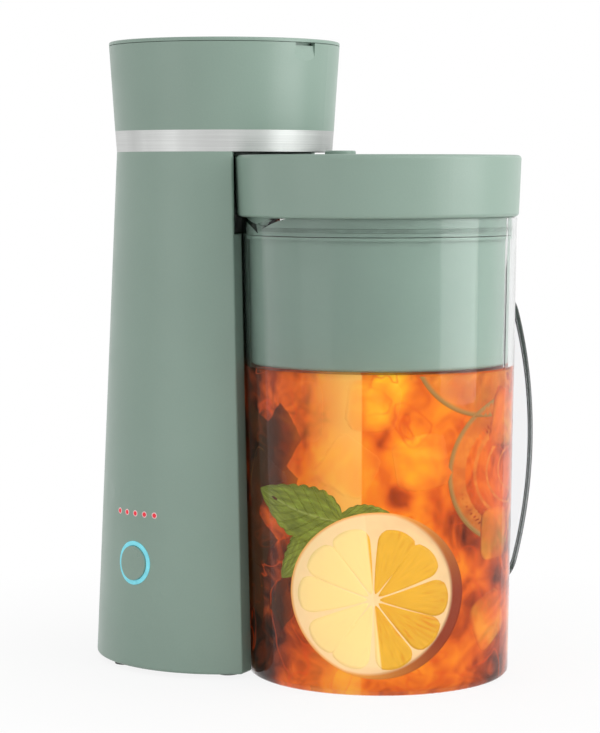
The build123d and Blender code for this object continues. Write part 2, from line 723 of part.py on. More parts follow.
def heater_bracket():
    """The bent steel strap that carries the heater on the base plate."""
    top = bracket_top_z()
    half = BRACKET_HALF_SPAN
    low = PLATE_TOP_Z
    line = Polyline(
        (-half - BRACKET_FOOT, low), (-half, low), (-half, top - BRACKET_THICK),
        (half, top - BRACKET_THICK), (half, low), (half + BRACKET_FOOT, low),
        (half + BRACKET_FOOT, low + BRACKET_THICK), (half + BRACKET_THICK, low + BRACKET_THICK),
        (half + BRACKET_THICK, top), (-half - BRACKET_THICK, top),
        (-half - BRACKET_THICK, low + BRACKET_THICK), (-half - BRACKET_FOOT, low + BRACKET_THICK),
        close=True,
    )
    strap = extrude(Plane.YZ * make_face(line), BRACKET_WIDTH / 2, both=True)
    return Pos(HEATER_X, 0, 0) * strap


def thermostat():
    """The disc thermostat on the bracket."""
    low = bracket_top_z()
    body = disc(THERMOSTAT_R, low, low + THERMOSTAT_HEIGHT)
    body += disc(THERMOSTAT_R - 2.5, low, low + THERMOSTAT_HEIGHT + 3)
    blade = Pos(0, 0, low + THERMOSTAT_HEIGHT + 5) * Box(0.8, 4.8, 7)
    for side in (-1, 1):
        body += Pos(side * 3.5, 0, 0) * blade
    return Pos(HEATER_X, 0, 0) * body


def thermal_fuse():
    """The one-shot fuse in its sleeve beside the heater."""
    centre = (HEATER_X, HEATER_BEND_R - ELEMENT_R - FUSE_R - 2, bracket_top_z() + FUSE_R)
    return Pos(*centre) * Rot(0, 90, 0) * Cylinder(FUSE_R, FUSE_LENGTH)


# ---------------------------------------------------------------- control panel
def board_corners():
    """Places of the board's four screws, as (offset along the board, height)."""
    side = BOARD_WIDTH / 2 - BOARD_SCREW_INSET
    low = BOARD_BOTTOM_Z + BOARD_SCREW_INSET
    high = BOARD_TOP_Z - BOARD_SCREW_INSET
    return [(s, z) for s in (-side, side) for z in (low, high)]


def board_place(side, height):
    """A place on the board's outer face, with its own +Z pointing outward."""
    return at_azimuth(PANEL_AZ, BOARD_R) * Pos(0, side, height) * Rot(0, 90, 0)


def led_turns():
    """Angles of the indicator lights about the tower's axis, from the panel's middle."""
    step = degrees(LED_PITCH / case_r(LED_Z))
    return [(index - (LED_COUNT - 1) / 2) * step for index in range(LED_COUNT)]


def control_board():
    """The circuit board behind the panel."""
    height = BOARD_TOP_Z - BOARD_BOTTOM_Z
    board = Pos(0, 0, BOARD_BOTTOM_Z) * Box(
        BOARD_THICK, BOARD_WIDTH, height, align=(Align.MAX, Align.CENTER, Align.MIN)
    )
    board = at_azimuth(PANEL_AZ, BOARD_R) * board
    relay = Pos(-BOARD_THICK, RELAY_SIDE, BOARD_BOTTOM_Z + RELAY_RISE) * Box(
        *RELAY_SIZE, align=(Align.MAX, Align.CENTER, Align.CENTER)
    )
    board += at_azimuth(PANEL_AZ, BOARD_R) * relay
    for side, height in board_corners():
        board -= board_place(side, height) * Cylinder(BOARD_SCREW_R, 12)
    return board


def board_screws():
    """The screws that hold the board to the casing's bosses."""
    screw = Pos(0, 0, -BOARD_THICK) * Cylinder(2.2, 1.4, align=(Align.CENTER, Align.CENTER, Align.MAX))
    screw += Pos(0, 0, -BOARD_THICK) * Cylinder(
        BOARD_SCREW_R - 0.1, BOARD_THICK + 5, align=(Align.CENTER, Align.CENTER, Align.MIN)
    )
    return Compound([board_place(side, height) * screw for side, height in board_corners()])


def tact_switch():
    """The push switch on the board, behind the button's stem."""
    body = Box(SWITCH_SIZE, SWITCH_SIZE, SWITCH_HEIGHT, align=(Align.CENTER, Align.CENTER, Align.MIN))
    plunger = Cylinder(PLUNGER_R, SWITCH_HEIGHT + 1, align=(Align.CENTER, Align.CENTER, Align.MIN))
    return board_place(0, BUTTON_Z) * (body + plunger)


def proud_form(proud):
    """The casing's round face moved outward, for trimming what sits in the panel."""
    return frustum(case_r(0) + proud, 0, case_r(CASE_TOP_Z) + proud, CASE_TOP_Z)


def button_light_ring():
    """The light guide round the button, with a lip in front of the button's flange."""
    face = case_r(BUTTON_Z)
    inner_r = face - RING_DEPTH
    guide = radial_rod(BUTTON_HOLE_R, PANEL_AZ, inner_r, CASE_BASE_R + 5, BUTTON_Z)
    guide -= radial_rod(RING_BORE_R, PANEL_AZ, inner_r - 1, CASE_BASE_R + 6, BUTTON_Z)
    pocket_r = CAP_FLANGE_R + RING_BORE_R - CAP_R
    guide -= radial_rod(pocket_r, PANEL_AZ, inner_r - 1, face - RING_LIP, BUTTON_Z)
    return guide & proud_form(RING_PROUD)


def power_button():
    """The button cap with its retaining flange and its stem."""
    flange_r = case_r(BUTTON_Z) - RING_LIP - CAP_FLANGE_GAP
    cap = radial_rod(CAP_R, PANEL_AZ, flange_r - CAP_FLANGE, CASE_BASE_R + 6, BUTTON_Z)
    cap = cap & proud_form(CAP_PROUD)
    cap += radial_rod(CAP_FLANGE_R, PANEL_AZ, flange_r - CAP_FLANGE, flange_r, BUTTON_Z)
    stem_end = BOARD_R + SWITCH_HEIGHT + 1 + SWITCH_GAP
    return cap + radial_rod(STEM_R, PANEL_AZ, stem_end, flange_r, BUTTON_Z)


def led_lenses():
    """The light pipes from the board out to the row of indicator dots."""
    pipes = []
    for turn in led_turns():
        inner = (BOARD_R + LED_GAP + LED_R * abs(sin(radians(turn)))) / cos(radians(turn))
        pipe = radial_rod(LED_R - 0.05, PANEL_AZ + turn, inner, CASE_BASE_R + 5, LED_Z)
        pipes.append(pipe & proud_form(LED_PROUD))
    return Compound(pipes)


def cord_bushing():
    """The bushing of the cord inlet at the back of the casing."""
    face = case_r(BUSHING_Z)
    body = radial_rod(BUSHING_R - 0.05, 180, face - CASE_WALL - BUSHING_INSIDE, face, BUSHING_Z)
    flange = radial_rod(BUSHING_FLANGE_R, 180, face - 4, face + BUSHING_FLANGE, BUSHING_Z)
    flange -= proud_form(0)
    body += flange
    bore_start = face - CASE_WALL - BUSHING_INSIDE - 1
    return body - radial_rod(BUSHING_BORE_R, 180, bore_start, face + BUSHING_FLANGE + 1, BUSHING_Z)


# ---------------------------------------------------------------- pitcher
def beak_form(inset, lift, top_z):
    """The pointed beak: an outline of two cheeks at the rim drawn down to a point."""
    def on_rim(turn, radius):
        angle = radians(BEAK_AZ + turn)
        return (radius * cos(angle), radius * sin(angle), top_z)

    half = BEAK_HALF_ANGLE * (1 - inset / 12)
    edge_r = JUG_RIM_R - inset - 0.05
    left = on_rim(-half, edge_r)
    right = on_rim(half, edge_r)
    nose = on_rim(0, BEAK_NOSE_R - inset * 1.4)
    cheek_l = on_rim(-half / 2, BEAK_CHEEK_R - inset)
    cheek_r = on_rim(half / 2, BEAK_CHEEK_R - inset)
    back_l = on_rim(-half, edge_r - 8)
    back_r = on_rim(half, edge_r - 8)
    outline = make_face(Wire([
        ThreePointArc(left, cheek_l, nose).edge(), ThreePointArc(nose, cheek_r, right).edge(),
        Line(right, back_r).edge(), Line(back_r, back_l).edge(), Line(back_l, left).edge(),
    ]))
    angle = radians(BEAK_AZ)
    tip_r = jug_r(BEAK_TIP_Z) - inset
    tip = Vertex(tip_r * cos(angle), tip_r * sin(angle), BEAK_TIP_Z + lift)
    return loft([outline, tip])


def jug_outer():
    """The jug's outer form, filled, with its rounded foot and its beak."""
    body = frustum(jug_r(0), 0, JUG_RIM_R, JUG_RIM_Z)
    body = fillet(body.edges().sort_by(Axis.Z)[0], JUG_CORNER)
    return body + beak_form(0, 0, JUG_RIM_Z)


def pitcher_shell():
    """The clear jug: wall, floor, ledge for the basket and an open beak."""
    ledge_r = jug_r(BASKET_LEDGE_Z)
    lower = frustum(jug_r(JUG_FLOOR) - JUG_WALL, JUG_FLOOR, ledge_r - JUG_WALL, BASKET_LEDGE_Z)
    lower = fillet(lower.edges().sort_by(Axis.Z)[0], JUG_INNER_CORNER)
    upper = frustum(
        ledge_r - JUG_RIM_WALL, BASKET_LEDGE_Z, jug_r(JUG_RIM_Z + 1) - JUG_RIM_WALL, JUG_RIM_Z + 1
    )
    jug = jug_outer() - lower - upper - beak_form(BEAK_WALL, 3.0, JUG_RIM_Z + 0.5)
    return jug - disc(FOOT_RECESS_R, -1, FOOT_RECESS)


def pitcher_handle():
    """The clear strap handle, a bowed band ended on the jug's wall."""
    start_r = JUG_BASE_R - JUG_WALL
    upper = (HANDLE_SHOULDER_R, 0, HANDLE_TOP_Z)
    lower = (HANDLE_SHOULDER_R, 0, HANDLE_BOTTOM_Z)
    middle = (HANDLE_OUT_R - HANDLE_THICK / 2, 0, (HANDLE_TOP_Z + HANDLE_BOTTOM_Z) / 2)
    sharp = Wire([
        Line((start_r, 0, HANDLE_TOP_Z), upper).edge(),
        ThreePointArc(upper, middle, lower).edge(),
        Line(lower, (start_r, 0, HANDLE_BOTTOM_Z)).edge(),
    ])
    bends = sharp.vertices().sort_by(Axis.X)[-2:]
    path = sharp.fillet_2d(HANDLE_CORNER, bends)
    section = RectangleRounded(HANDLE_THICK, HANDLE_WIDTH, HANDLE_EDGE)
    start = Plane(origin=path @ 0, z_dir=path % 0, x_dir=(0, 0, 1))
    strap = sweep(start * section, path=path)
    strap -= frustum(jug_r(0), 0, JUG_RIM_R, JUG_RIM_Z)
    return Rot(0, 0, HANDLE_AZ) * strap


def basket_r(height):
    """Outer radius of the brew basket at a height."""
    return jug_r(height) - JUG_WALL - BASKET_GAP


def brew_basket():
    """The basket hung in the jug's mouth, with radial drip slots in its floor."""
    flange_r = jug_r(BASKET_LEDGE_Z) - JUG_RIM_WALL - BASKET_FLANGE_GAP
    flange_z = BASKET_LEDGE_Z + BASKET_FLANGE
    cup = frustum(
        basket_r(BASKET_BOTTOM_Z), BASKET_BOTTOM_Z, basket_r(BASKET_LEDGE_Z), BASKET_LEDGE_Z
    )
    cup = fillet(cup.edges().sort_by(Axis.Z)[0], BASKET_WALL)
    cup += disc(flange_r, BASKET_LEDGE_Z, flange_z)
    floor_z = BASKET_BOTTOM_Z + BASKET_FLOOR
    cup -= frustum(
        basket_r(floor_z) - BASKET_WALL, floor_z, basket_r(flange_z) - BASKET_WALL, flange_z
    )
    length = DRIP_OUTER_R - DRIP_INNER_R
    slot = Pos((DRIP_OUTER_R + DRIP_INNER_R) / 2, 0, BASKET_BOTTOM_Z) * Rectangle(length, DRIP_SLOT_WIDTH)
    cutter = extrude(slot, BASKET_FLOOR)
    for index in range(DRIP_SLOTS):
        cup -= Rot(0, 0, 360 / DRIP_SLOTS * index) * cutter
    return cup


def filter_cone(inset, low_z, high_z):
    """The filter's tapered form between two heights."""
    bottom = BASKET_BOTTOM_Z + BASKET_FLOOR
    top_r = basket_r(FILTER_TOP_Z) - BASKET_WALL - FILTER_GAP
    slope = (top_r - FILTER_FLOOR_R) / (FILTER_TOP_Z - bottom)
    low_r = FILTER_FLOOR_R + slope * (low_z - bottom) - inset
    high_r = FILTER_FLOOR_R + slope * (high_z - bottom) - inset
    return frustum(low_r, low_z, high_r, high_z)


def basket_filter():
    """The filter cup's frame: floor, rim and the ribs between its windows."""
    low = BASKET_BOTTOM_Z + BASKET_FLOOR
    cup = filter_cone(0, low, FILTER_TOP_Z) - filter_cone(FILTER_WALL, low + FILTER_WALL, FILTER_TOP_Z)
    reach = 2 * JUG_RIM_R
    step = 360 / FILTER_WINDOWS
    half = radians((step - FILTER_RIB_ANGLE) / 2)
    wedge = make_face(Polyline(
        (0, 0), (reach, -reach * sin(half) / cos(half)), (reach, reach * sin(half) / cos(half)),
        close=True,
    ))
    height = FILTER_TOP_Z - low - 2 * FILTER_SILL
    window = extrude(Pos(0, 0, low + FILTER_SILL) * wedge, height)
    window -= disc(FILTER_FLOOR_R - 2 * FILTER_WALL, low, FILTER_TOP_Z)
    window += extrude(wedge, low + FILTER_WALL) & ring(
        FILTER_FLOOR_R - FILTER_FLOOR_RIM, FILTER_HUB_R, low, low + FILTER_WALL
    )
    for index in range(FILTER_WINDOWS):
        cup -= Rot(0, 0, step * index) * window
    return cup


def filter_mesh():
    """The fine mesh cup inside the filter frame."""
    low = BASKET_BOTTOM_Z + BASKET_FLOOR + FILTER_WALL
    inset = FILTER_WALL + MESH_GAP
    outer = filter_cone(inset, low, FILTER_TOP_Z - 2)
    return outer - filter_cone(inset + MESH_THICK, low + MESH_THICK, FILTER_TOP_Z - 2)


# ---------------------------------------------------------------- pitcher lid
def plug_r():
    """Outer radius of the lid's plug, inside the jug's mouth."""
    return jug_r(PLUG_BOTTOM_Z) - JUG_RIM_WALL - PLUG_GAP


def pitcher_lid():
    """The deep cap: top plate, skirt, plug with its pour slits, inlet collar and posts."""
    under = CAP_TOP_Z - CAP_PLATE
    outer = cap_form(CAP_BOTTOM_R, CAP_BOTTOM_Z, CAP_TOP_R, CAP_TOP_Z)
    layers = outer.edges().group_by(Axis.Z)
    outer = fillet(layers[0] + layers[-1], CAP_EDGE)
    outer -= cap_form(
        CAP_BOTTOM_R - CAP_WALL, CAP_BOTTOM_Z + CAP_SHOULDER, CAP_TOP_R - CAP_WALL, under
    )
    outer -= disc(plug_r() - PLUG_WALL, CAP_BOTTOM_Z - 1, CAP_BOTTOM_Z + CAP_SHOULDER + 1)
    plug = ring(plug_r(), plug_r() - PLUG_WALL, PLUG_BOTTOM_Z, CAP_BOTTOM_Z + CAP_SHOULDER)
    plug -= ring(plug_r() + 1, plug_r() - SEAL_DEPTH, SEAL_Z, SEAL_Z + SEAL_HEIGHT)
    slit = Pos(plug_r(), 0, PLUG_WINDOW_Z) * Box(
        6 * PLUG_WALL, plug_r() * radians(PLUG_SLIT_ANGLE), CAP_BOTTOM_Z - PLUG_WINDOW_Z,
        align=(Align.CENTER, Align.CENTER, Align.MIN),
    )
    for index in range(PLUG_SLITS):
        turn = BEAK_AZ - PLUG_WINDOW_TURN + (index - (PLUG_SLITS - 1) / 2) * PLUG_SLIT_PITCH
        plug -= Rot(0, 0, turn) * slit
    lid = outer + plug
    collar = disc(INLET_R + INLET_COLLAR, under - INLET_COLLAR_DEPTH, under + 1)
    lid += Pos(inlet_x(), 0, 0) * collar
    for azimuth in POST_AZIMUTHS:
        lid += at_azimuth(azimuth, POST_RING_R) * disc(POST_R, SHOWER_Z + SHOWER_THICK, under + 1)
    funnel = disc(INLET_R, 0, CAP_TOP_Z + 1) + frustum(
        INLET_R, CAP_TOP_Z - 1.2, INLET_R + 1.5, CAP_TOP_Z + 0.3
    )
    lid -= Pos(inlet_x(), 0, 0) * funnel
    return lid - Pos(KNOB_X, 0, 0) * disc(KNOB_STEM_R + STEM_GAP, under - 1, CAP_TOP_Z + 1)


def inlet_x():
    """Place of the lid's inlet under the tower's nozzle, from the pitcher's axis."""
    return NOZZLE_X - AXIS_SPACING


def lid_seal():
    """The sealing ring in the plug's groove."""
    wall_r = jug_r(SEAL_Z) - JUG_RIM_WALL
    return ring(
        wall_r - SEAL_WALL_GAP, plug_r() - SEAL_DEPTH, SEAL_Z + 0.05, SEAL_Z + SEAL_HEIGHT - 0.05
    )


def shower_plate():
    """The perforated plate that spreads the water over the tea."""
    plate = disc(SHOWER_R, SHOWER_Z, SHOWER_Z + SHOWER_THICK)
    hole = disc(SHOWER_HOLE_R, SHOWER_Z - 1, SHOWER_Z + SHOWER_THICK + 1)
    for count, radius in ((SHOWER_HOLES, SHOWER_RING_R), (SHOWER_HOLES // 2, SHOWER_RING_R / 2.4)):
        for index in range(count):
            plate -= at_azimuth(360 / count * index, radius) * hole
    return plate


def strength_selector():
    """The small round knob on the lid, held by a disc under the top plate."""
    under = CAP_TOP_Z - CAP_PLATE
    low = CAP_TOP_Z + KNOB_GAP
    knob = fillet(disc(KNOB_R, low, low + KNOB_HEIGHT).edges().sort_by(Axis.Z)[-1], 0.8)
    knob += disc(KNOB_STEM_R, under - KNOB_GAP - KNOB_DISC, low + 1)
    knob += disc(KNOB_DISC_R, under - KNOB_GAP - KNOB_DISC, under - KNOB_GAP)
    mark = Pos(KNOB_R * 0.55, 0, low + KNOB_HEIGHT) * Box(KNOB_R * 0.7, KNOB_SLOT, 1.0)
    return Pos(KNOB_X, 0, 0) * (knob - mark)


TOWER_PARTS = (
    tower_shell, base_plate, rubber_feet, base_screws, steel_band, head_shell, hinge_pin, top_lid,
    water_tank, tank_strainer, outlet_nozzle, riser_tube, cold_hose, check_valve, heating_element,
    heater_bracket, thermostat, thermal_fuse, control_board, board_screws, tact_switch,
    button_light_ring, power_button, led_lenses, cord_bushing,
)
PITCHER_PARTS = (
    pitcher_shell, pitcher_handle, brew_basket, basket_filter, filter_mesh, pitcher_lid, lid_seal,
    shower_plate, strength_selector,
)


def main():
    """Build each piece, place it and write it."""
    os.makedirs("parts", exist_ok=True)
    groups = ((TOWER_PARTS, TOWER_X), (PITCHER_PARTS, TOWER_X + AXIS_SPACING))
    for makers, axis_x in groups:
        for maker in makers:
            export_step(Pos(axis_x, ROW_Y, 0) * maker(), f"parts/{maker.__name__}.step")


main()
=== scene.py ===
"""Iced tea maker: finishes, brewed tea and studio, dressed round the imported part."""

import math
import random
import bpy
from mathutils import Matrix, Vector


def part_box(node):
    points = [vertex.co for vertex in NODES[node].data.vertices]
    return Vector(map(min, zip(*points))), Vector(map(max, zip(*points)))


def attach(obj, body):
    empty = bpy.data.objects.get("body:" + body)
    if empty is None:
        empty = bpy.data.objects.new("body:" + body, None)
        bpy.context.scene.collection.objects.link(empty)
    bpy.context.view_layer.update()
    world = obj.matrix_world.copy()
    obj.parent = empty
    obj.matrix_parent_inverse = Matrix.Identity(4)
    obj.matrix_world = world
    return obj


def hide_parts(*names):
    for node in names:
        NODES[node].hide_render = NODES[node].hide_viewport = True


bl_info = {
    "name": "Iced Tea Maker Dressing",
    "version": (1, 0, 0),
    "blender": (4, 5, 0),
    "location": "View3D > Sidebar > Tea Maker",
    "description": "Moulded casing, clear pitcher of iced tea and a pale studio for the packed part",
    "category": "Object",
}

import bmesh
import bpy
from mathutils import Matrix, Vector

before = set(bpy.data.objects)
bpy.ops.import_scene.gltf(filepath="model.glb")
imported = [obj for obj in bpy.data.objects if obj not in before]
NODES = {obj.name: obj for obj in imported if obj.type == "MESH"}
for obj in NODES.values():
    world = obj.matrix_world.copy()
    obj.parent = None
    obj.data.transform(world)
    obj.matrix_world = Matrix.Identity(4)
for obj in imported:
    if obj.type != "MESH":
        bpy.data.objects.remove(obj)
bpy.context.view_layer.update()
MM = 0.001


# ---------------------------------------------------------------- settings
def colour(name, description, default):
    """A colour property in linear values."""
    return bpy.props.FloatVectorProperty(
        name=name, description=description, default=default, subtype="COLOR", min=0.0, max=1.0
    )


def length(name, description, default_mm):
    """A length property, given in millimetres."""
    return bpy.props.FloatProperty(
        name=name, description=description, default=default_mm * MM, unit="LENGTH", precision=5
    )


class CasingSettings(bpy.types.PropertyGroup):
    """Colours of the tower, the lids and the panel, and the places of the indicator lights."""

    body_colour: colour("Body", "Sage green of the moulded casing", (0.265, 0.368, 0.308))
    band_colour: colour("Band", "Brushed steel trim ring", (0.62, 0.63, 0.62))
    dark_colour: colour("Dark plastic", "Base plate and other dark mouldings", (0.030, 0.034, 0.032))
    pale_colour: colour("Pale plastic", "Tank and other pale mouldings", (0.60, 0.64, 0.62))
    glow_colour: colour("Button glow", "Light guide round the button", (0.18, 0.62, 0.72))
    lamp_colour: colour("Indicator", "Indicator lenses", (0.62, 0.015, 0.03))
    halo_colour: colour("Indicator rim", "Pale rim round each lens", (0.86, 0.62, 0.62))
    lamp_height: length("Lamp height", "Height of the indicator row", 80.5)
    lamp_pitch: length("Lamp pitch", "Distance between indicator lights", 6.4)
    lamp_radius: length("Lamp radius", "Radius of each indicator lens", 1.6)
    lamp_count: bpy.props.IntProperty(name="Lamps", description="Number of lights", default=5)
    panel_angle: bpy.props.FloatProperty(
        name="Panel angle", description="Direction the panel faces, from +X",
        default=math.radians(-107.6), subtype="ANGLE",
    )


class DrinkSettings(bpy.types.PropertyGroup):
    """Sizes and colours of the tea, the ice, the lemon and the mint."""

    level: length("Tea level", "Height of the tea's surface", 155.6)
    floor_height: length("Floor", "Height from which the tea shows through the jug's floor", 1.4)
    floor_radius: length("Radius at floor", "Inner radius of the jug at its floor", 62.95)
    rim_radius: length("Radius at rim", "Inner radius of the jug's wall run up to its rim", 66.0)
    rim_height: length("Rim height", "Height of the jug's rim", 229.5)
    corner: length("Corner", "Inner corner radius of the jug", 4.0)
    contact: length("Contact", "How far the tea wets into the wall", 0.12)
    slice_radius: length("Slice radius", "Radius of the lemon slice", 40.8)
    slice_height: length("Slice height", "Height of the slice's middle", 48.9)
    slice_offset: length("Slice offset", "Sideways place of the slice's middle", -2.5)
    hub_offset: length("Hub offset", "How far the segments' hub lies left of and below it", 1.8)
    segments: bpy.props.IntProperty(name="Segments", description="Segments in a slice", default=10)
    ice_count: bpy.props.IntProperty(name="Ice cubes", description="Number of cubes", default=24)
    ice_size: length("Ice size", "Edge of an ice cube", 27.0)


class StudioSettings(bpy.types.PropertyGroup):
    """The floor, the lamps and the camera."""

    floor_colour: colour("Floor", "Pale floor", (0.88, 0.88, 0.87))
    ambient: bpy.props.FloatProperty(name="Ambient", description="World light", default=0.66)
    view_turn: bpy.props.FloatProperty(
        name="Camera turn", description="Direction of the camera", default=math.radians(26.06),
        subtype="ANGLE",
    )
    view_pitch: bpy.props.FloatProperty(
        name="Camera pitch", description="How far the camera looks down",
        default=math.radians(4.86), subtype="ANGLE",
    )
    view_place: bpy.props.FloatVectorProperty(
        name="Camera place", description="Place of the camera", default=(0.5133, -1.0701, 0.2522),
        subtype="TRANSLATION",
    )
    lens: bpy.props.FloatProperty(name="Lens", description="Focal length in mm", default=112.75)


# ---------------------------------------------------------------- places
def middle(node):
    """The middle of a node's box."""
    low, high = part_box(node)
    return (low + high) / 2


TOWER_AXIS = middle("steel_band")
JUG_AXIS = middle("lid_seal") * Vector((1, 1, 0))


def camera_side(turn=0.0):
    """The level direction from the object to the camera, turned towards the viewer's right."""
    angle = bpy.context.scene.tea_studio.view_turn + turn
    return Vector((math.sin(angle), -math.cos(angle), 0.0))


# ---------------------------------------------------------------- materials
class Finish:
    """Builds one material's nodes round its Principled shader."""

    def __init__(self, name, **values):
        self.material = bpy.data.materials.new(name)
        self.material.use_nodes = True
        self.tree = self.material.node_tree
        self.shader = self.tree.nodes["Principled BSDF"]
        self.output = self.tree.nodes["Material Output"]
        for socket, value in values.items():
            self.set(socket.replace("_", " "), value)

    def add(self, kind, **values):
        """A new node with its settings or its inputs filled in."""
        node = self.tree.nodes.new("ShaderNode" + kind)
        for key, value in values.items():
            if hasattr(node, key):
                setattr(node, key, value)
            else:
                self.feed(node.inputs[key.replace("_", " ")], value)
        return node

    def feed(self, socket, value):
        """Links a socket to another, or sets its plain value."""
        if isinstance(value, bpy.types.NodeSocket):
            self.tree.links.new(value, socket)
        elif hasattr(socket.default_value, "__len__") and len(value) < len(socket.default_value):
            socket.default_value = (*value, 1.0)
        else:
            socket.default_value = value

    def set(self, name, value):
        """Feeds one of the Principled shader's sockets."""
        self.feed(self.shader.inputs[name], value)

    def place(self, scale=(1, 1, 1), location=(0, 0, 0), turn=0.0, source="Object"):
        """Coordinates of the piece, moved, turned about Z and scaled."""
        coords = self.add("TexCoord").outputs[source]
        return self.add(
            "Mapping", vector_type="TEXTURE" if turn or any(location) else "POINT", Vector=coords,
            Location=location, Rotation=(0, 0, turn), Scale=scale,
        ).outputs[0]

    def jug_place(self):
        """Coordinates from the jug's axis: sideways, away from the viewer, and up."""
        return self.place(location=JUG_AXIS, turn=bpy.context.scene.tea_studio.view_turn)

    def noise(self, scale, detail=3.0, distortion=0.0, vector=None, roughness=0.5):
        """A noise pattern's value."""
        return self.add(
            "TexNoise", Vector=vector or self.place(), Scale=scale, Detail=detail,
            Roughness=roughness, Distortion=distortion,
        ).outputs[0]

    def ramp(self, factor, stops, easing="LINEAR"):
        """A colour ramp over (position, colour) stops."""
        node = self.add("ValToRGB", Fac=factor)
        node.color_ramp.interpolation = easing
        elements = node.color_ramp.elements
        while len(elements) < len(stops):
            elements.new(0.5)
        for element, (position, tint) in zip(elements, stops):
            element.position = position
            element.color = (*tint, 1.0)
        return node.outputs[0]

    def span(self, value, low, high, out_low=0.0, out_high=1.0):
        """A value's range mapped onto another, clamped."""
        return self.add(
            "MapRange", Value=value, From_Min=low, From_Max=high, To_Min=out_low, To_Max=out_high
        ).outputs[0]

    def calc(self, operation, first, second=0.0):
        """A Math node."""
        node = self.add("Math", operation=operation)
        self.feed(node.inputs[0], first)
        self.feed(node.inputs[1], second)
        return node.outputs[0]

    def blend(self, factor, first, second, mode="MIX"):
        """A colour mix."""
        node = self.add("Mix", data_type="RGBA", blend_type=mode)
        self.feed(node.inputs[0], factor)
        self.feed(node.inputs[6], first)
        self.feed(node.inputs[7], second)
        return node.outputs[2]

    def grain(self, height, strength, depth):
        """A bump on the surface from a height pattern."""
        self.set("Normal", self.add(
            "Bump", Height=height, Strength=strength, Distance=depth
        ).outputs[0])

    def glow(self, tint, strength):
        """Painted glow: emission that stands in for light coming through a translucent piece, stronger on
        the viewer's left.
        """
        side = self.add("SeparateXYZ", Vector=self.jug_place()).outputs[0]
        self.set("Emission Strength", strength)
        self.set("Emission Color", self.blend(
            self.span(side, -0.010, 0.045, 1.0, 0.25), (0.0, 0.0, 0.0), tint))

    def surface(self, socket):
        """Sends a shader to the output."""
        self.tree.links.new(socket, self.output.inputs["Surface"])


def shade(tint, share):
    """A colour made darker or lighter."""
    return tuple(min(1.0, channel * share) for channel in tint)


def moulded(name, tint, roughness=0.33, grain=0.10, fine=1300.0):
    """Injection-moulded plastic: faint clouding, fine grain and slightly uneven gloss."""
    finish = Finish(name)
    cloud = finish.noise(16.0, detail=2.0)
    speck = finish.noise(fine, detail=1.0)
    toned = finish.blend(finish.span(cloud, 0.3, 0.7), shade(tint, 0.965), shade(tint, 1.03))
    finish.set("Base Color", finish.blend(
        finish.span(speck, 0.35, 0.75, 0.0, 0.10), toned, shade(tint, 1.25)))
    finish.set("Roughness", finish.span(
        finish.noise(55.0, detail=4.0), 0.3, 0.7, roughness - 0.03, roughness + 0.05
    ))
    finish.grain(speck, grain, 0.0003)
    return finish.material


def brushed_steel(name, tint, roughness=0.3):
    """Steel brushed round the tower's axis: long hairlines, and bands of painted sheen that darken its
    colour.
    """
    finish = Finish(name, Metallic=1.0)
    hair = finish.noise(1.0, detail=6.0, vector=finish.place(scale=(14, 14, 5200)), roughness=0.7)
    # painted sheen: broad bands round the axis that darken the steel's colour
    painted_sheen = finish.noise(1.0, detail=2.0, vector=finish.place(scale=(60, 60, 8)))
    toned = finish.blend(finish.span(hair, 0.25, 0.75), shade(tint, 0.70), shade(tint, 1.22))
    finish.set("Base Color", finish.blend(finish.span(painted_sheen, 0.35, 0.7, 0.0, 0.5), toned, shade(tint, 0.72)))
    finish.set("Roughness", finish.span(hair, 0.25, 0.75, roughness - 0.08, roughness + 0.14))
    finish.grain(hair, 0.25, 0.0002)
    return finish.material


def plated_metal(name, tint, roughness, scale=90.0):
    """Plated or pressed metal with faint drawing marks."""
    finish = Finish(name, Metallic=1.0)
    marks = finish.noise(scale, detail=5.0, distortion=0.4)
    finish.set("Base Color", finish.blend(finish.span(marks, 0.3, 0.7), shade(tint, 0.85), shade(tint, 1.1)))
    finish.set("Roughness", finish.span(marks, 0.3, 0.7, roughness - 0.06, roughness + 0.10))
    finish.grain(marks, 0.08, 0.0002)
    return finish.material


def soft_rubber(name, tint, roughness=0.62):
    """Matte rubber or silicone with a dusty bloom."""
    finish = Finish(name, Sheen_Weight=0.15)
    bloom = finish.noise(120.0, detail=5.0)
    finish.set("Base Color", finish.blend(finish.span(bloom, 0.35, 0.7), tint, shade(tint, 1.35)))
    finish.set("Roughness", finish.span(bloom, 0.3, 0.7, roughness - 0.05, roughness + 0.1))
    finish.grain(finish.noise(1600.0, detail=1.0), 0.12, 0.0002)
    return finish.material


def coated_board(name):
    """Green circuit laminate with darker copper tracks under its coating."""
    finish = Finish(name, Coat_Weight=0.4, Coat_Roughness=0.2, Roughness=0.45)
    track = finish.add(
        "TexBrick", Vector=finish.place(), Scale=170.0, Mortar_Size=0.08, Mortar_Smooth=0.1,
        Color1=(0.02, 0.16, 0.07), Color2=(0.02, 0.13, 0.055), Mortar=(0.03, 0.28, 0.12),
    )
    finish.set("Base Color", track.outputs[0])
    finish.grain(track.outputs[1], 0.2, 0.0002)
    return finish.material


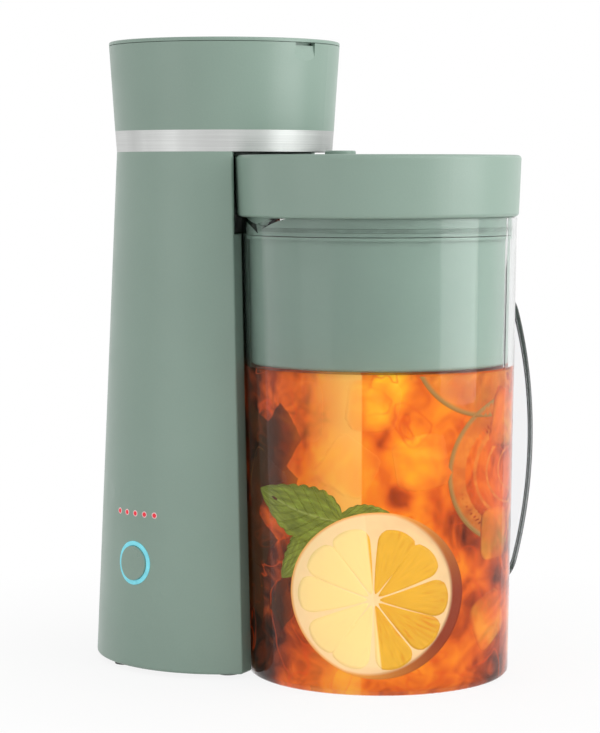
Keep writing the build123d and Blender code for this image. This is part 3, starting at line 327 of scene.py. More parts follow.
def clear_wall(name, tint, painted_edge_shade=None, edge_axis=None):
    """Clear moulded plastic that bends light and lets lamps reach what it holds.

    Faces that look along edge_axis, such as a strap's cut edges, take a darker colour, painted shade for the
    dark look of clear edges.
    """
    finish = Finish(name, Base_Color=tint, Transmission_Weight=1.0, IOR=1.47, Roughness=0.02,
                    Specular_Tint=(0.25, 0.25, 0.25))
    if painted_edge_shade:
        facing = finish.add("VectorMath", operation="DOT_PRODUCT")
        finish.feed(facing.inputs[0], finish.add("TexCoord").outputs["Normal"])
        finish.feed(facing.inputs[1], edge_axis)
        edge = finish.span(finish.calc("ABSOLUTE", facing.outputs["Value"]), 0.55, 0.85)
        # painted shade on the faces that look along edge_axis
        finish.set("Base Color", finish.blend(edge, tint, painted_edge_shade))
    through = finish.add("BsdfTransparent", Color=shade(tint, 0.97)).outputs[0]
    mix = finish.add("MixShader")
    finish.feed(mix.inputs[0], finish.add("LightPath").outputs["Is Shadow Ray"])
    finish.feed(mix.inputs[1], finish.shader.outputs[0])
    finish.feed(mix.inputs[2], through)
    finish.grain(finish.noise(22.0, detail=2.0), 0.03, 0.002)
    finish.surface(mix.outputs[0])
    return finish.material


def lit(name, tint, strength, roughness=0.35):
    """A moulded light guide or lens that glows faintly in its own colour."""
    finish = Finish(name, Roughness=roughness, Emission_Strength=strength)
    cloud = finish.noise(260.0, detail=2.0)
    toned = finish.blend(finish.span(cloud, 0.3, 0.7), shade(tint, 0.9), shade(tint, 1.1))
    finish.set("Base Color", toned)
    finish.set("Emission Color", toned)
    return finish.material


def fine_mesh(name, tint):
    """Woven steel mesh: wires as bump and shade, with open weave between them."""
    finish = Finish(name, Metallic=1.0, Roughness=0.35)
    across = finish.add("SeparateXYZ", Vector=finish.place(scale=(1500, 1500, 1500))).outputs
    weave = finish.calc("MAXIMUM", *(
        finish.calc("ABSOLUTE", finish.calc("SINE", across[index])) for index in (0, 2)
    ))
    finish.set("Base Color", finish.blend(weave, shade(tint, 0.35), tint))
    finish.grain(weave, 0.5, 0.0002)
    return finish.material


def dress(material, *names):
    """Gives CAD nodes a material."""
    for name in names:
        mesh = NODES[name].data
        mesh.materials.clear()
        mesh.materials.append(material)


# ---------------------------------------------------------------- shaping
def make_piece(name, shape, body, slot, *materials, flat=False):
    """Turns a bmesh into a named piece that rides on a body."""
    mesh = bpy.data.meshes.new(name)
    shape.to_mesh(mesh)
    shape.free()
    piece = bpy.data.objects.new(name, mesh)
    bpy.context.scene.collection.objects.link(piece)
    for material in materials:
        mesh.materials.append(material)
    for face in mesh.polygons:
        face.use_smooth = not flat
    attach(piece, body)
    return piece


def turned(profile, steps=96):
    """A round bmesh spun about Z from (radius, height) points."""
    shape = bmesh.new()
    line = [shape.verts.new((radius, 0.0, height)) for radius, height in profile]
    edges = [shape.edges.new(pair) for pair in zip(line, line[1:])]
    bmesh.ops.spin(
        shape, geom=line + edges, cent=(0, 0, 0), axis=(0, 0, 1), angle=math.tau, steps=steps,
        use_merge=True,
    )
    bmesh.ops.remove_doubles(shape, verts=shape.verts, dist=1e-6)
    bmesh.ops.recalc_face_normals(shape, faces=shape.faces)
    return shape


def wall_radius(height):
    """Inner radius of the jug's wall at a height."""
    drink = bpy.context.scene.tea_drink
    share = height / drink.rim_height
    return drink.floor_radius + (drink.rim_radius - drink.floor_radius) * share


def onto_wall(shape, offset, height, proud, across=True):
    """Bends a flat shape (X sideways, Y up, Z towards the wall) onto the jug's inner wall.

    across keeps its outline as seen from the front; otherwise it is wrapped at its own length.
    """
    front = math.atan2(camera_side().y, camera_side().x)
    for vert in shape.verts:
        side, up, out = vert.co
        level = height + up
        radius = wall_radius(level)
        if across:
            turn = math.asin(max(-0.995, min(0.995, (offset + side) / radius)))
        else:
            turn = offset / radius + side / radius
        reach = radius + proud + out
        vert.co = Vector((
            JUG_AXIS.x + reach * math.cos(front + turn),
            JUG_AXIS.y + reach * math.sin(front + turn),
            level,
        ))
    bmesh.ops.recalc_face_normals(shape, faces=shape.faces)


def polar_uv(shape):
    """Stores (turn, radius in mm) about the flat shape's middle as its UV map."""
    layer = shape.loops.layers.uv.new("UVMap")
    for face in shape.faces:
        turns = [math.atan2(loop.vert.co.y, loop.vert.co.x) for loop in face.loops]
        for loop, turn in zip(face.loops, turns):
            if max(turns) - min(turns) > math.pi and turn < 0:
                turn += math.tau
            loop[layer].uv = (turn, loop.vert.co.xy.length / MM)


# ---------------------------------------------------------------- operators
class TEAMAKER_OT_casing(bpy.types.Operator):
    """Finish the moulded casing, the lids, the basket and the knob"""

    bl_idname = "teamaker.casing"
    bl_label = "Casing and Lids"

    def execute(self, context):
        tint = context.scene.tea_casing.body_colour
        dress(moulded("green_casing", tint), "tower_shell", "head_shell", "top_lid")
        dress(moulded("green_button", tint, roughness=0.30), "power_button")
        dress(moulded("green_lid", tint), "pitcher_lid", "strength_selector")
        dress(moulded("green_basket", shade(tint, 1.12), grain=0.03), "brew_basket", "basket_filter")
        # the seal is the casing's green, made darker as painted shade for the shadow under the lid
        dress(soft_rubber("green_seal", shade(tint, 0.66)), "lid_seal")
        return {"FINISHED"}


class TEAMAKER_OT_trim(bpy.types.Operator):
    """Finish the steel band, the feet, the base plate and the cord bushing"""

    bl_idname = "teamaker.trim"
    bl_label = "Trim"

    def execute(self, context):
        casing = context.scene.tea_casing
        dress(brushed_steel("brushed_band", casing.band_colour, 0.42), "steel_band")
        dress(moulded("dark_plastic", casing.dark_colour, roughness=0.5, grain=0.2),
              "base_plate", "outlet_nozzle", "tact_switch")
        dress(soft_rubber("rubber", (0.035, 0.035, 0.035)), "rubber_feet", "cord_bushing")
        dress(plated_metal("screw_steel", (0.55, 0.55, 0.56), 0.35),
              "base_screws", "board_screws", "hinge_pin")
        dress(lit("light_ring", casing.glow_colour, 0.35), "button_light_ring")
        return {"FINISHED"}


class TEAMAKER_OT_works(bpy.types.Operator):
    """Finish the tank, the water path, the heater and the board"""

    bl_idname = "teamaker.works"
    bl_label = "Works"

    def execute(self, context):
        pale = context.scene.tea_casing.pale_colour
        dress(moulded("tank_plastic", pale, roughness=0.4), "water_tank", "tank_strainer")
        dress(moulded("white_plastic", (0.72, 0.72, 0.69), roughness=0.42),
              "check_valve", "thermostat", "thermal_fuse", "shower_plate")
        dress(soft_rubber("silicone", (0.62, 0.62, 0.60), 0.45),
              "riser_tube", "cold_hose")
        dress(plated_metal("heater_aluminium", (0.62, 0.62, 0.63), 0.42), "heating_element")
        dress(plated_metal("bracket_steel", (0.52, 0.52, 0.51), 0.38), "heater_bracket")
        dress(coated_board("board_laminate"), "control_board")
        dress(fine_mesh("mesh_steel", (0.5, 0.5, 0.5)), "filter_mesh")
        return {"FINISHED"}


class TEAMAKER_OT_clear(bpy.types.Operator):
    """Finish the clear jug and its strap handle"""

    bl_idname = "teamaker.clear"
    bl_label = "Clear Pitcher"

    def execute(self, context):
        dress(clear_wall("clear_plastic", (0.88, 0.895, 0.89)), "pitcher_shell")
        out = middle("pitcher_handle") - middle("pitcher_shell")
        side = Vector((-out.y, out.x, 0)).normalized()
        # the handle's dark edge colour is painted shade
        dress(clear_wall("clear_handle", (0.90, 0.91, 0.92), (0.16, 0.17, 0.17), side),
              "pitcher_handle")
        return {"FINISHED"}


class TEAMAKER_OT_indicators(bpy.types.Operator):
    """Make the row of indicator lenses with their pale rims"""

    bl_idname = "teamaker.indicators"
    bl_label = "Indicator Lights"

    def execute(self, context):
        casing = context.scene.tea_casing
        lens, rim = bmesh.new(), bmesh.new()
        r = casing.lamp_radius
        face = self.face_radius(casing.lamp_height)
        for index in range(casing.lamp_count):
            offset = (index - (casing.lamp_count - 1) / 2) * casing.lamp_pitch
            turn = casing.panel_angle + offset / face
            place = (
                Matrix.Translation((TOWER_AXIS.x, TOWER_AXIS.y, casing.lamp_height))
                @ Matrix.Rotation(turn, 4, "Z") @ Matrix.Translation((face, 0, 0))
                @ Matrix.Rotation(math.pi / 2, 4, "Y")
            )
            core = turned([
                (0, -0.010), (0.70 * r, -0.010), (0.70 * r, 0.00005),
                (0.62 * r, 0.00022), (0.35 * r, 0.00030), (0, 0.00032),
            ], 24)
            halo = turned([
                (0.71 * r, -0.010), (r, -0.010), (r, 0.00002), (0.95 * r, 0.00010),
                (0.80 * r, 0.00012), (0.71 * r, 0.00004), (0.71 * r, -0.010),
            ], 24)
            for part, whole in ((core, lens), (halo, rim)):
                bmesh.ops.transform(part, matrix=place, verts=part.verts)
                mesh = bpy.data.meshes.new("lamp")
                part.to_mesh(mesh)
                part.free()
                whole.from_mesh(mesh)
                bpy.data.meshes.remove(mesh)
        lenses = make_piece(
            "indicator_lenses", lens, "tower", "led_red", lit("lens_red", casing.lamp_colour, 0.5)
        )
        make_piece(
            "indicator_rims", rim, "tower", "led_red", lit("lens_rim", casing.halo_colour, 0.15)
        )
        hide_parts("led_lenses")
        return {"FINISHED"}

    @staticmethod
    def face_radius(height):
        """Radius of the casing's face at a height, from the tapering shell's box."""
        low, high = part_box("tower_shell")
        base = (high.y - low.y) / 2
        top = (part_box("steel_band")[1].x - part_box("steel_band")[0].x) / 2
        share = (height - low.z) / (high.z - low.z)
        return base + (top - 0.0008 - base) * share


# (sideways, height, radius in millimetres, strength) of the painted glow spots and the darker spots in the
# tea
PAINTED_GLOW_AND_DARK_SPOTS = (
    (2.0, 151.0, 15.0, 0.24), (-4.0, 136.0, 9.0, 0.24), (15.0, 115.0, 18.0, 0.22),
    (29.0, 129.0, 12.0, 0.08), (52.0, 92.0, 18.0, 0.07), (43.0, 57.0, 14.0, 0.10),
    (-14.0, 2.0, 26.0, 0.08), (8.3, 96.0, 9.0, -0.20), (40.0, 80.0, 12.0, -0.08),
)


def brew(finish):
    """The colour of brewed tea full of ice and fruit, as a socket that every sunk piece shares.

    It carries painted light and shade: painted shade on the viewer's left, where dark leaf-like shards
    also lie, painted glow spots in the middle, and one soft painted reflection, a vertical band of
    light on the near side that ends sharply on its right.
    """
    at = finish.jug_place()
    side, depth, height = finish.add("SeparateXYZ", Vector=at).outputs
    front = finish.add("CombineXYZ", X=side, Z=height).outputs[0]
    value = finish.calc("MULTIPLY_ADD", finish.noise(20.0, detail=2.0, distortion=1.4, vector=at), 0.62)
    finish.feed(value.node.inputs[2], finish.calc("MULTIPLY", finish.noise(
        62.0, detail=4.0, distortion=1.5, vector=at), 0.36))
    # painted shade on the viewer's left; also darker towards the right edge and towards the bottom
    parts = [
        finish.span(side, -0.064, -0.024, -0.31, -0.02),
        finish.span(side, 0.015, 0.067, 0.0, -0.16),
        finish.span(height, 0.0, 0.016, -0.05, 0.0),
    ]
    # painted glow spots, and darker spots
    for across, up, radius, strength in PAINTED_GLOW_AND_DARK_SPOTS:
        spot = finish.add("VectorMath", operation="DISTANCE")
        finish.feed(spot.inputs[0], front)
        finish.feed(spot.inputs[1], (across * MM, 0.0, up * MM))
        parts.append(finish.span(spot.outputs["Value"], 0.35 * radius * MM, radius * MM, strength, 0.0))
    for part in parts:
        value = finish.calc("ADD", value, part)
    tint = finish.ramp(value, [
        (0.12, (0.020, 0.006, 0.003)), (0.22, (0.12, 0.020, 0.006)), (0.32, (0.42, 0.060, 0.010)),
        (0.41, (0.72, 0.125, 0.013)), (0.50, (0.85, 0.205, 0.016)), (0.59, (0.92, 0.300, 0.018)),
        (0.69, (1.0, 0.45, 0.020)), (0.80, (1.0, 0.62, 0.04)),
    ])
    ridge = finish.calc("ABSOLUTE", finish.calc("SUBTRACT", finish.noise(
        26.0, detail=2.0, distortion=1.2, vector=at), 0.5))
    tint = finish.blend(finish.span(ridge, 0.0, 0.016, 0.58, 0.0), tint, (0.74, 0.085, 0.012))
    torn = finish.add("VectorMath", operation="ADD")
    finish.feed(torn.inputs[0], at)
    wave = finish.add("VectorMath", operation="SCALE", Scale=0.014)
    finish.feed(wave.inputs[0], finish.add(
        "TexNoise", Vector=at, Scale=38.0, Detail=3.0).outputs["Color"])
    finish.feed(torn.inputs[1], wave.outputs[0])
    # dark leaf-like shards on the viewer's left, over the painted shade
    shard = finish.add("SeparateXYZ", Vector=finish.add(
        "TexVoronoi", Vector=torn.outputs[0], Scale=46.0).outputs["Color"]).outputs[0]
    leaf = finish.calc("MULTIPLY", finish.span(shard, 0.38, 0.48, 0.85, 0.0), finish.span(
        side, -0.050, -0.026, 1.0, 0.0))
    tint = finish.blend(leaf, tint, (0.060, 0.020, 0.006))
    specks = finish.span(finish.noise(620.0, detail=1.0, vector=at), 0.70, 0.78, 0.0, 0.4)
    tint = finish.blend(specks, tint, (0.36, 0.09, 0.01))
    # painted reflection: a soft vertical band of light on the near side, ending sharply on its right
    painted_reflection_band = finish.calc("MULTIPLY", finish.span(side, -0.037, -0.018, 0.0, 0.80), finish.span(
        side, -0.0104, -0.0098, 1.0, 0.0))
    painted_reflection_band = finish.calc("MULTIPLY", painted_reflection_band, finish.span(height, 0.060, 0.100, 0.30, 1.0))
    painted_reflection_band = finish.calc("MULTIPLY", painted_reflection_band, finish.span(depth, -0.010, 0.0, 1.0, 0.0))
    return finish.blend(painted_reflection_band, tint, (0.96, 0.56, 0.13))


def amber(name):
    """Brewed tea."""
    finish = Finish(name, Roughness=0.55, Specular_IOR_Level=0.05)
    tint = brew(finish)
    finish.set("Base Color", tint)
    # painted glow: the tea's colour as emission
    finish.glow(tint, 0.30)
    return finish.material


class TEAMAKER_OT_tea(bpy.types.Operator):
    """Pour the tea up to its level in the jug"""

    bl_idname = "teamaker.tea"
    bl_label = "Tea"

    def execute(self, context):
        drink = context.scene.tea_drink
        wet = drink.contact
        profile = [(0.0, drink.floor_height - wet)]
        corner = drink.corner
        base = wall_radius(drink.floor_height) + wet
        for step in range(7):
            turn = math.radians(15 * step)
            profile.append((
                base - corner + corner * math.sin(turn),
                drink.floor_height - wet + corner - corner * math.cos(turn),
            ))
        rise = drink.level - drink.floor_height - corner
        for step in range(1, 41):
            height = drink.floor_height + corner + rise * step / 40
            profile.append((wall_radius(height) + wet, height))
        profile += [
            (wall_radius(drink.level) - 0.8 * MM, drink.level - 0.5 * MM),
            (wall_radius(drink.level) - 2.5 * MM, drink.level - 1.2 * MM),
            (0.0, drink.level - 1.3 * MM),
        ]
        shape = turned(profile, 144)
        bmesh.ops.translate(shape, verts=shape.verts, vec=(JUG_AXIS.x, JUG_AXIS.y, 0))
        make_piece("brewed_tea", shape, "pitcher", "clear_plastic", amber("tea_amber"))
        return {"FINISHED"}


def frozen(name):
    """Ice seen in tea: the brew's own colour at its rim, golden where the cube comes near; painted shade
    keeps it in the brew's colour on the viewer's left, and it has a painted glow.
    """
    finish = Finish(name, Roughness=0.4, Specular_IOR_Level=0.10)
    near = finish.add("Attribute", attribute_name="near").outputs["Fac"]
    vein = finish.noise(48.0, detail=3.0, distortion=1.6)
    gold = finish.ramp(vein, [
        (0.35, (0.88, 0.24, 0.016)), (0.50, (0.95, 0.36, 0.020)), (0.64, (1.0, 0.52, 0.04)),
    ])
    # painted shade: the golden colour fades out towards the viewer's left
    lit = finish.span(finish.add("SeparateXYZ", Vector=finish.jug_place()).outputs[0], -0.045, -0.015)
    tint = finish.blend(
        finish.calc("MULTIPLY", lit, finish.span(near, 0.05, 1.0, 0.0, 0.38)), brew(finish), gold)
    rim = finish.calc("MULTIPLY", finish.span(near, 0.0, 0.05), finish.span(near, 0.05, 0.12, 0.22, 0.0))
    tint = finish.blend(rim, tint, (0.95, 0.42, 0.06))
    finish.set("Base Color", tint)
    # painted glow: the ice's colour as emission
    finish.glow(tint, 0.30)
    finish.grain(vein, 0.15, 0.001)
    return finish.material


class TEAMAKER_OT_ice(bpy.types.Operator):
    """Set worn ice cubes against the jug's wall, half sunk in the tea"""

    bl_idname = "teamaker.ice"
    bl_label = "Ice"

    def execute(self, context):
        drink = context.scene.tea_drink
        draw = random.Random(11)
        front = math.atan2(camera_side().y, camera_side().x)
        whole = bmesh.new()
        whole.verts.layers.float.new("near")
        taken = []
        tries = 0
        while len(taken) < drink.ice_count and tries < 4000:
            tries += 1
            turn = draw.uniform(-math.pi, math.pi)
            height = draw.uniform(18, 142) * MM
            size = drink.ice_size * draw.uniform(0.85, 1.15)
            if abs(turn) < math.radians(52) and height < 108 * MM:
                continue
            spot = Vector((math.cos(front + turn), math.sin(front + turn), 0))
            reach = wall_radius(height) - 0.24 * size
            centre = Vector((JUG_AXIS.x, JUG_AXIS.y, height)) + spot * reach
            if any((centre - other).length < 1.25 * drink.ice_size for other in taken):
                continue
            taken.append(centre)
            self.add_cube(whole, draw, centre, size)
        make_piece("ice_cubes", whole, "pitcher", "clear_plastic", frozen("ice_in_tea"))
        return {"FINISHED"}

    @staticmethod
    def add_cube(whole, draw, centre, size):
        """One cube with worn edges, flattened where it meets the wall and the surface."""
        drink = bpy.context.scene.tea_drink
        cube = bmesh.new()
        bmesh.ops.create_cube(cube, size=size)
        bmesh.ops.bevel(
            cube, geom=cube.edges[:], offset=0.2 * size, segments=3, profile=0.5,
            affect="EDGES", material=-1,
        )
        bmesh.ops.subdivide_edges(cube, edges=cube.edges[:], cuts=4, use_grid_fill=True)
        near = cube.verts.layers.float.new("near")
        spin = Matrix.Rotation(draw.uniform(0, math.tau), 4, Vector((
            draw.uniform(-1, 1), draw.uniform(-1, 1), draw.uniform(-1, 1)
        )).normalized())
        bmesh.ops.transform(cube, matrix=Matrix.Translation(centre) @ spin, verts=cube.verts)
        for vert in cube.verts:
            vert.co.z = max(drink.floor_height + 0.4 * MM, min(vert.co.z, drink.level - 1.0 * MM))
            flat = Vector((vert.co.x - JUG_AXIS.x, vert.co.y - JUG_AXIS.y, 0))
            limit = wall_radius(vert.co.z) + 0.30 * MM
            vert[near] = max(0.0, min(1.0, (flat.length - limit) / (0.22 * size)))
            if flat.length > limit:
                flat *= limit / flat.length
                vert.co.x, vert.co.y = JUG_AXIS.x + flat.x, JUG_AXIS.y + flat.y
        mesh = bpy.data.meshes.new("cube")
        cube.to_mesh(mesh)
        cube.free()
        whole.from_mesh(mesh)
        bpy.data.meshes.remove(mesh)


def painted_reflection_side(finish):
    """How far a spot of the slice lies in a painted reflection, the paler light left of a slanting line."""
    drink = bpy.context.scene.tea_drink
    side, _, height = finish.add("SeparateXYZ", Vector=finish.jug_place()).outputs
    line = finish.calc("MULTIPLY_ADD", finish.calc("SUBTRACT", height, drink.slice_height), 0.11)
    finish.feed(line.node.inputs[2], side)
    edge = drink.slice_offset - drink.hub_offset
    return finish.span(line, edge - 0.4 * MM, edge + 0.4 * MM, 1.0, 0.0)


def citrus_pulp(name, pale, deep):
    """Juice sacs that run out from the middle of a slice, paler on the left with a painted reflection, and
    with a painted glow.
    """
    finish = Finish(name, Roughness=0.35, Specular_IOR_Level=0.2)
    polar = finish.add("TexCoord").outputs["UV"]
    streak = finish.noise(1.0, detail=3.0, distortion=0.5, vector=finish.add(
        "Mapping", Vector=polar, Scale=(22.0, 0.14, 1.0)).outputs[0])
    cloud = finish.noise(45.0, detail=2.0)
    value = finish.calc("ADD", finish.calc("MULTIPLY", streak, 0.6), finish.calc("MULTIPLY", cloud, 0.4))
    gold = finish.ramp(value, [(0.30, deep), (0.48, shade(pale, 0.92)), (0.66, pale)])
    # painted reflection: paler cream left of the slanting line
    tint = finish.blend(finish.calc("MULTIPLY", painted_reflection_side(finish), 0.85), gold, (1.0, 0.78, 0.36))
    finish.set("Base Color", tint)
    # painted glow: the pulp's colour as emission
    finish.glow(tint, 0.36)
    finish.grain(streak, 0.12, 0.0004)
    return finish.material


def citrus_pith(name, cream, shaded, shaded_rind, radius_mm):
    """Cream pith that turns to a thin golden rim; where the slice faces right, painted shade darkens it and
    turns the widened rim dark brown.
    """
    finish = Finish(name, Roughness=0.45, Specular_IOR_Level=0.2)
    turn, out, _ = finish.add("SeparateXYZ", Vector=finish.add("TexCoord").outputs["UV"]).outputs
    away = finish.span(finish.calc("COSINE", finish.calc("ADD", turn, 0.30)), -0.10, 0.95)
    cloud = finish.noise(120.0, detail=3.0)
    toned = finish.blend(finish.span(cloud, 0.3, 0.7), shade(cream, 0.90), cream)
    # painted reflection: paler left of the slanting line
    toned = finish.blend(finish.calc("MULTIPLY", painted_reflection_side(finish), 0.5), toned, (1.0, 0.74, 0.42))
    # painted shade: the outer pith darkens where the slice faces right
    toned = finish.blend(finish.calc("MULTIPLY", away, finish.span(
        out, 0.84 * radius_mm, 0.93 * radius_mm, 0.0, 0.85)), toned, shaded)
    # the rim widens where the slice faces right
    inner = finish.calc("MULTIPLY_ADD", away, -4.6)
    finish.feed(inner.node.inputs[2], radius_mm - 0.9)
    rim = finish.span(finish.calc("SUBTRACT", out, inner), -0.8, 0.8)
    # painted shade: the rim is golden, and dark brown where the slice faces right
    edge = finish.blend(away, (0.84, 0.36, 0.06), shaded_rind)
    tint = finish.blend(rim, toned, edge)
    finish.set("Base Color", tint)
    # painted glow: the pith's colour as emission
    finish.glow(tint, 0.36)
    finish.grain(cloud, 0.12, 0.0004)
    return finish.material


class TEAMAKER_OT_lemon(bpy.types.Operator):
    """Lay the lemon slice against the front of the wall"""

    bl_idname = "teamaker.lemon"
    bl_label = "Lemon Slice"

    def execute(self, context):
        drink = context.scene.tea_drink
        radius = drink.slice_radius
        proud = 0.50 * MM
        disc = turned([
            (0, -3.0 * MM), (radius - 0.8 * MM, -3.0 * MM), (radius, -2.2 * MM), (radius, -0.3 * MM),
            (radius - 0.35 * MM, 0.0), *(
                (radius * share, 0.0) for share in (0.97, 0.93, 0.88, 0.8, 0.7, 0.6, 0.5, 0.4, 0.3, 0.2, 0.1)
            ), (0, 0),
        ], 120)
        polar_uv(disc)
        onto_wall(disc, drink.slice_offset, drink.slice_height, proud)
        make_piece("lemon_pith", disc, "pitcher", "clear_plastic", citrus_pith(
            "lemon_cream", (0.95, 0.68, 0.36), (0.44, 0.26, 0.13), (0.27, 0.040, 0.010), radius / MM))
        pulp = bmesh.new()
        for index in range(drink.segments):
            self.add_segment(pulp, index, 0.985 * radius)
        polar_uv(pulp)
        bmesh.ops.translate(pulp, verts=pulp.verts, vec=(-drink.hub_offset, -drink.hub_offset, 0))
        onto_wall(pulp, drink.slice_offset, drink.slice_height, proud)
        make_piece("lemon_pulp", pulp, "pitcher", "clear_plastic", citrus_pulp(
            "lemon_juice", (0.84, 0.47, 0.040), (0.74, 0.27, 0.015)))
        return {"FINISHED"}

    @staticmethod
    def add_segment(whole, index, radius):
        """One plump segment between two membranes."""
        drink = bpy.context.scene.tea_drink
        part = bmesh.new()
        bmesh.ops.create_grid(part, x_segments=18, y_segments=12, size=1.0)
        first, last = 0.075 * radius, 0.885 * radius
        half = math.pi / drink.segments
        skew = 0.07 * math.sin(2.4 * index)
        for vert in part.verts:
            along = (vert.co.x + 1) / 2
            across = vert.co.y
            out = first + (last - first) * along
            web = 0.35 * MM / out
            corner = (1 - max(0.0, (along - 0.80) / 0.20) ** 2.4 * 0.30) * min(1.0, along / 0.08 + 0.35)
            turn = index * 2 * half + skew * along + across * max(0.0, half - web) * corner
            bow = 1 - 0.035 * across * across * along
            rise = 0.16 * MM * (1 - across ** 4) * (1 - (2 * along - 1) ** 6)
            vert.co = Vector((out * bow * math.cos(turn), out * bow * math.sin(turn), 0.05 * MM + rise))
        skirt = bmesh.ops.extrude_edge_only(part, edges=[e for e in part.edges if e.is_boundary])
        for item in skirt["geom"]:
            if isinstance(item, bmesh.types.BMVert):
                item.co.z = -0.6 * MM
        mesh = bpy.data.meshes.new("segment")
        part.to_mesh(mesh)
        part.free()
        whole.from_mesh(mesh)
        bpy.data.meshes.remove(mesh)


def leafy(name):
    """Mint leaf: quilted between its veins, paler along the rib."""
    finish = Finish(name, Roughness=0.5, Specular_IOR_Level=0.35)
    at = finish.add("TexCoord").outputs["UV"]
    axes = finish.add("SeparateXYZ", Vector=at).outputs
    away = finish.calc("ABSOLUTE", axes[1])
    vein = finish.calc("ABSOLUTE", finish.calc("SINE", finish.calc(
        "MULTIPLY", finish.calc("SUBTRACT", axes[0], finish.calc("MULTIPLY", away, 0.32)), 24.0)))
    quilt = finish.calc("ADD", finish.span(vein, 0.0, 0.35), finish.calc(
        "MULTIPLY", finish.noise(9.0, detail=3.0, vector=at), 0.5))
    rib = finish.span(away, 0.0, 0.07, 1.0, 0.0)
    tint = finish.ramp(finish.noise(5.0, detail=3.0, vector=at), [
        (0.35, (0.165, 0.195, 0.018)), (0.55, (0.25, 0.29, 0.028)), (0.7, (0.34, 0.42, 0.048)),
    ])
    tint = finish.blend(finish.span(vein, 0.0, 0.30, 0.45, 0.0), tint, (0.37, 0.42, 0.065))
    tint = finish.blend(rib, tint, (0.40, 0.44, 0.10))
    finish.set("Base Color", tint)
    # painted glow: the leaf's colour as emission
    finish.glow(tint, 0.20)
    finish.grain(quilt, 0.7, 0.0012)
    return finish.material


class TEAMAKER_OT_mint(bpy.types.Operator):
    """Tuck a mint sprig behind the lemon"""

    bl_idname = "teamaker.mint"
    bl_label = "Mint"

    # (name, stem place, tip place, width), sideways and up from the jug's axis, in millimetres
    leaves = (
        ("mint_leaf_large", (-19.5, 84.5), (-57.5, 96.5), 26.0),
        ("mint_leaf_right", (-21.0, 85.5), (8.0, 85.5), 11.5),
        ("mint_leaf_low", (-31.0, 84.0), (-47.5, 54.0), 15.0),
        ("mint_leaf_back", (-22.0, 84.0), (-42.0, 73.0), 20.0),
    )

    def execute(self, context):
        green = leafy("mint_green")
        for order, (name, stem, tip, width) in enumerate(self.leaves):
            self.make_leaf(name, Vector(stem) * MM, Vector(tip) * MM, width * MM, green, order)
        return {"FINISHED"}

    @staticmethod
    def make_leaf(name, stem, tip, width, green, order):
        """One toothed leaf from its stem to its tip, with raised quilting."""
        run = tip - stem
        turn = Matrix.Rotation(math.atan2(run.y, run.x), 3, "Z")
        shape = bmesh.new()
        bmesh.ops.create_grid(shape, x_segments=56, y_segments=14, size=1.0)
        layer = shape.loops.layers.uv.new("UVMap")
        for face in shape.faces:
            for loop in face.loops:
                loop[layer].uv = ((loop.vert.co.x + 1) / 2, loop.vert.co.y)
        for vert in shape.verts:
            along = (vert.co.x + 1) / 2
            across = vert.co.y
            teeth = 1 + 0.10 * abs(across) ** 3 * abs(math.sin(along * 26))
            form = math.sin(math.pi * min(1.0, along ** 0.75)) ** 0.75 if 0 < along < 1 else 0.0
            wide = 0.5 * width * form * teeth
            quilt = 0.14 * MM * abs(math.sin(12 * (along - 0.32 * abs(across)))) * (1 - across ** 2)
            groove = -0.12 * MM * math.exp(-(across / 0.10) ** 2)
            bow = 0.06 * run.length * math.sin(math.pi * along)
            flat = turn @ Vector((run.length * along, wide * across + bow, 0))
            vert.co = Vector((flat.x + stem.x, flat.y, quilt + groove))
        bmesh.ops.solidify(shape, geom=shape.faces[:], thickness=0.25 * MM)
        onto_wall(shape, 0.0, stem.y, (0.32 - 0.04 * order) * MM)
        make_piece(name, shape, "pitcher", "clear_plastic", green)


def deep_fruit(name, rim_radius_mm):
    """A slice sunk deep in the tea: a dull thin rim round pulp that has taken the tea's colour."""
    finish = Finish(name, Roughness=0.5, Specular_IOR_Level=0.15)
    polar = finish.add("TexCoord").outputs["UV"]
    out = finish.add("SeparateXYZ", Vector=polar).outputs[1]
    streak = finish.noise(1.0, detail=3.0, distortion=0.5, vector=finish.add(
        "Mapping", Vector=polar, Scale=(5.0, 0.08, 1.0)).outputs[0])
    pulp = finish.ramp(streak, [
        (0.34, (0.60, 0.150, 0.014)), (0.5, (0.70, 0.215, 0.020)), (0.66, (0.80, 0.29, 0.03)),
    ])
    pulp = finish.blend(0.62, brew(finish), pulp)
    rim = finish.calc("MULTIPLY", finish.span(out, rim_radius_mm - 3.2, rim_radius_mm - 1.8, 0.0, 0.8),
                      finish.span(out, rim_radius_mm - 1.0, rim_radius_mm, 1.0, 0.25))
    tint = finish.blend(rim, pulp, (0.33, 0.24, 0.075))
    finish.set("Base Color", tint)
    # painted glow: the slice's colour as emission
    finish.glow(tint, 0.30)
    return finish.material


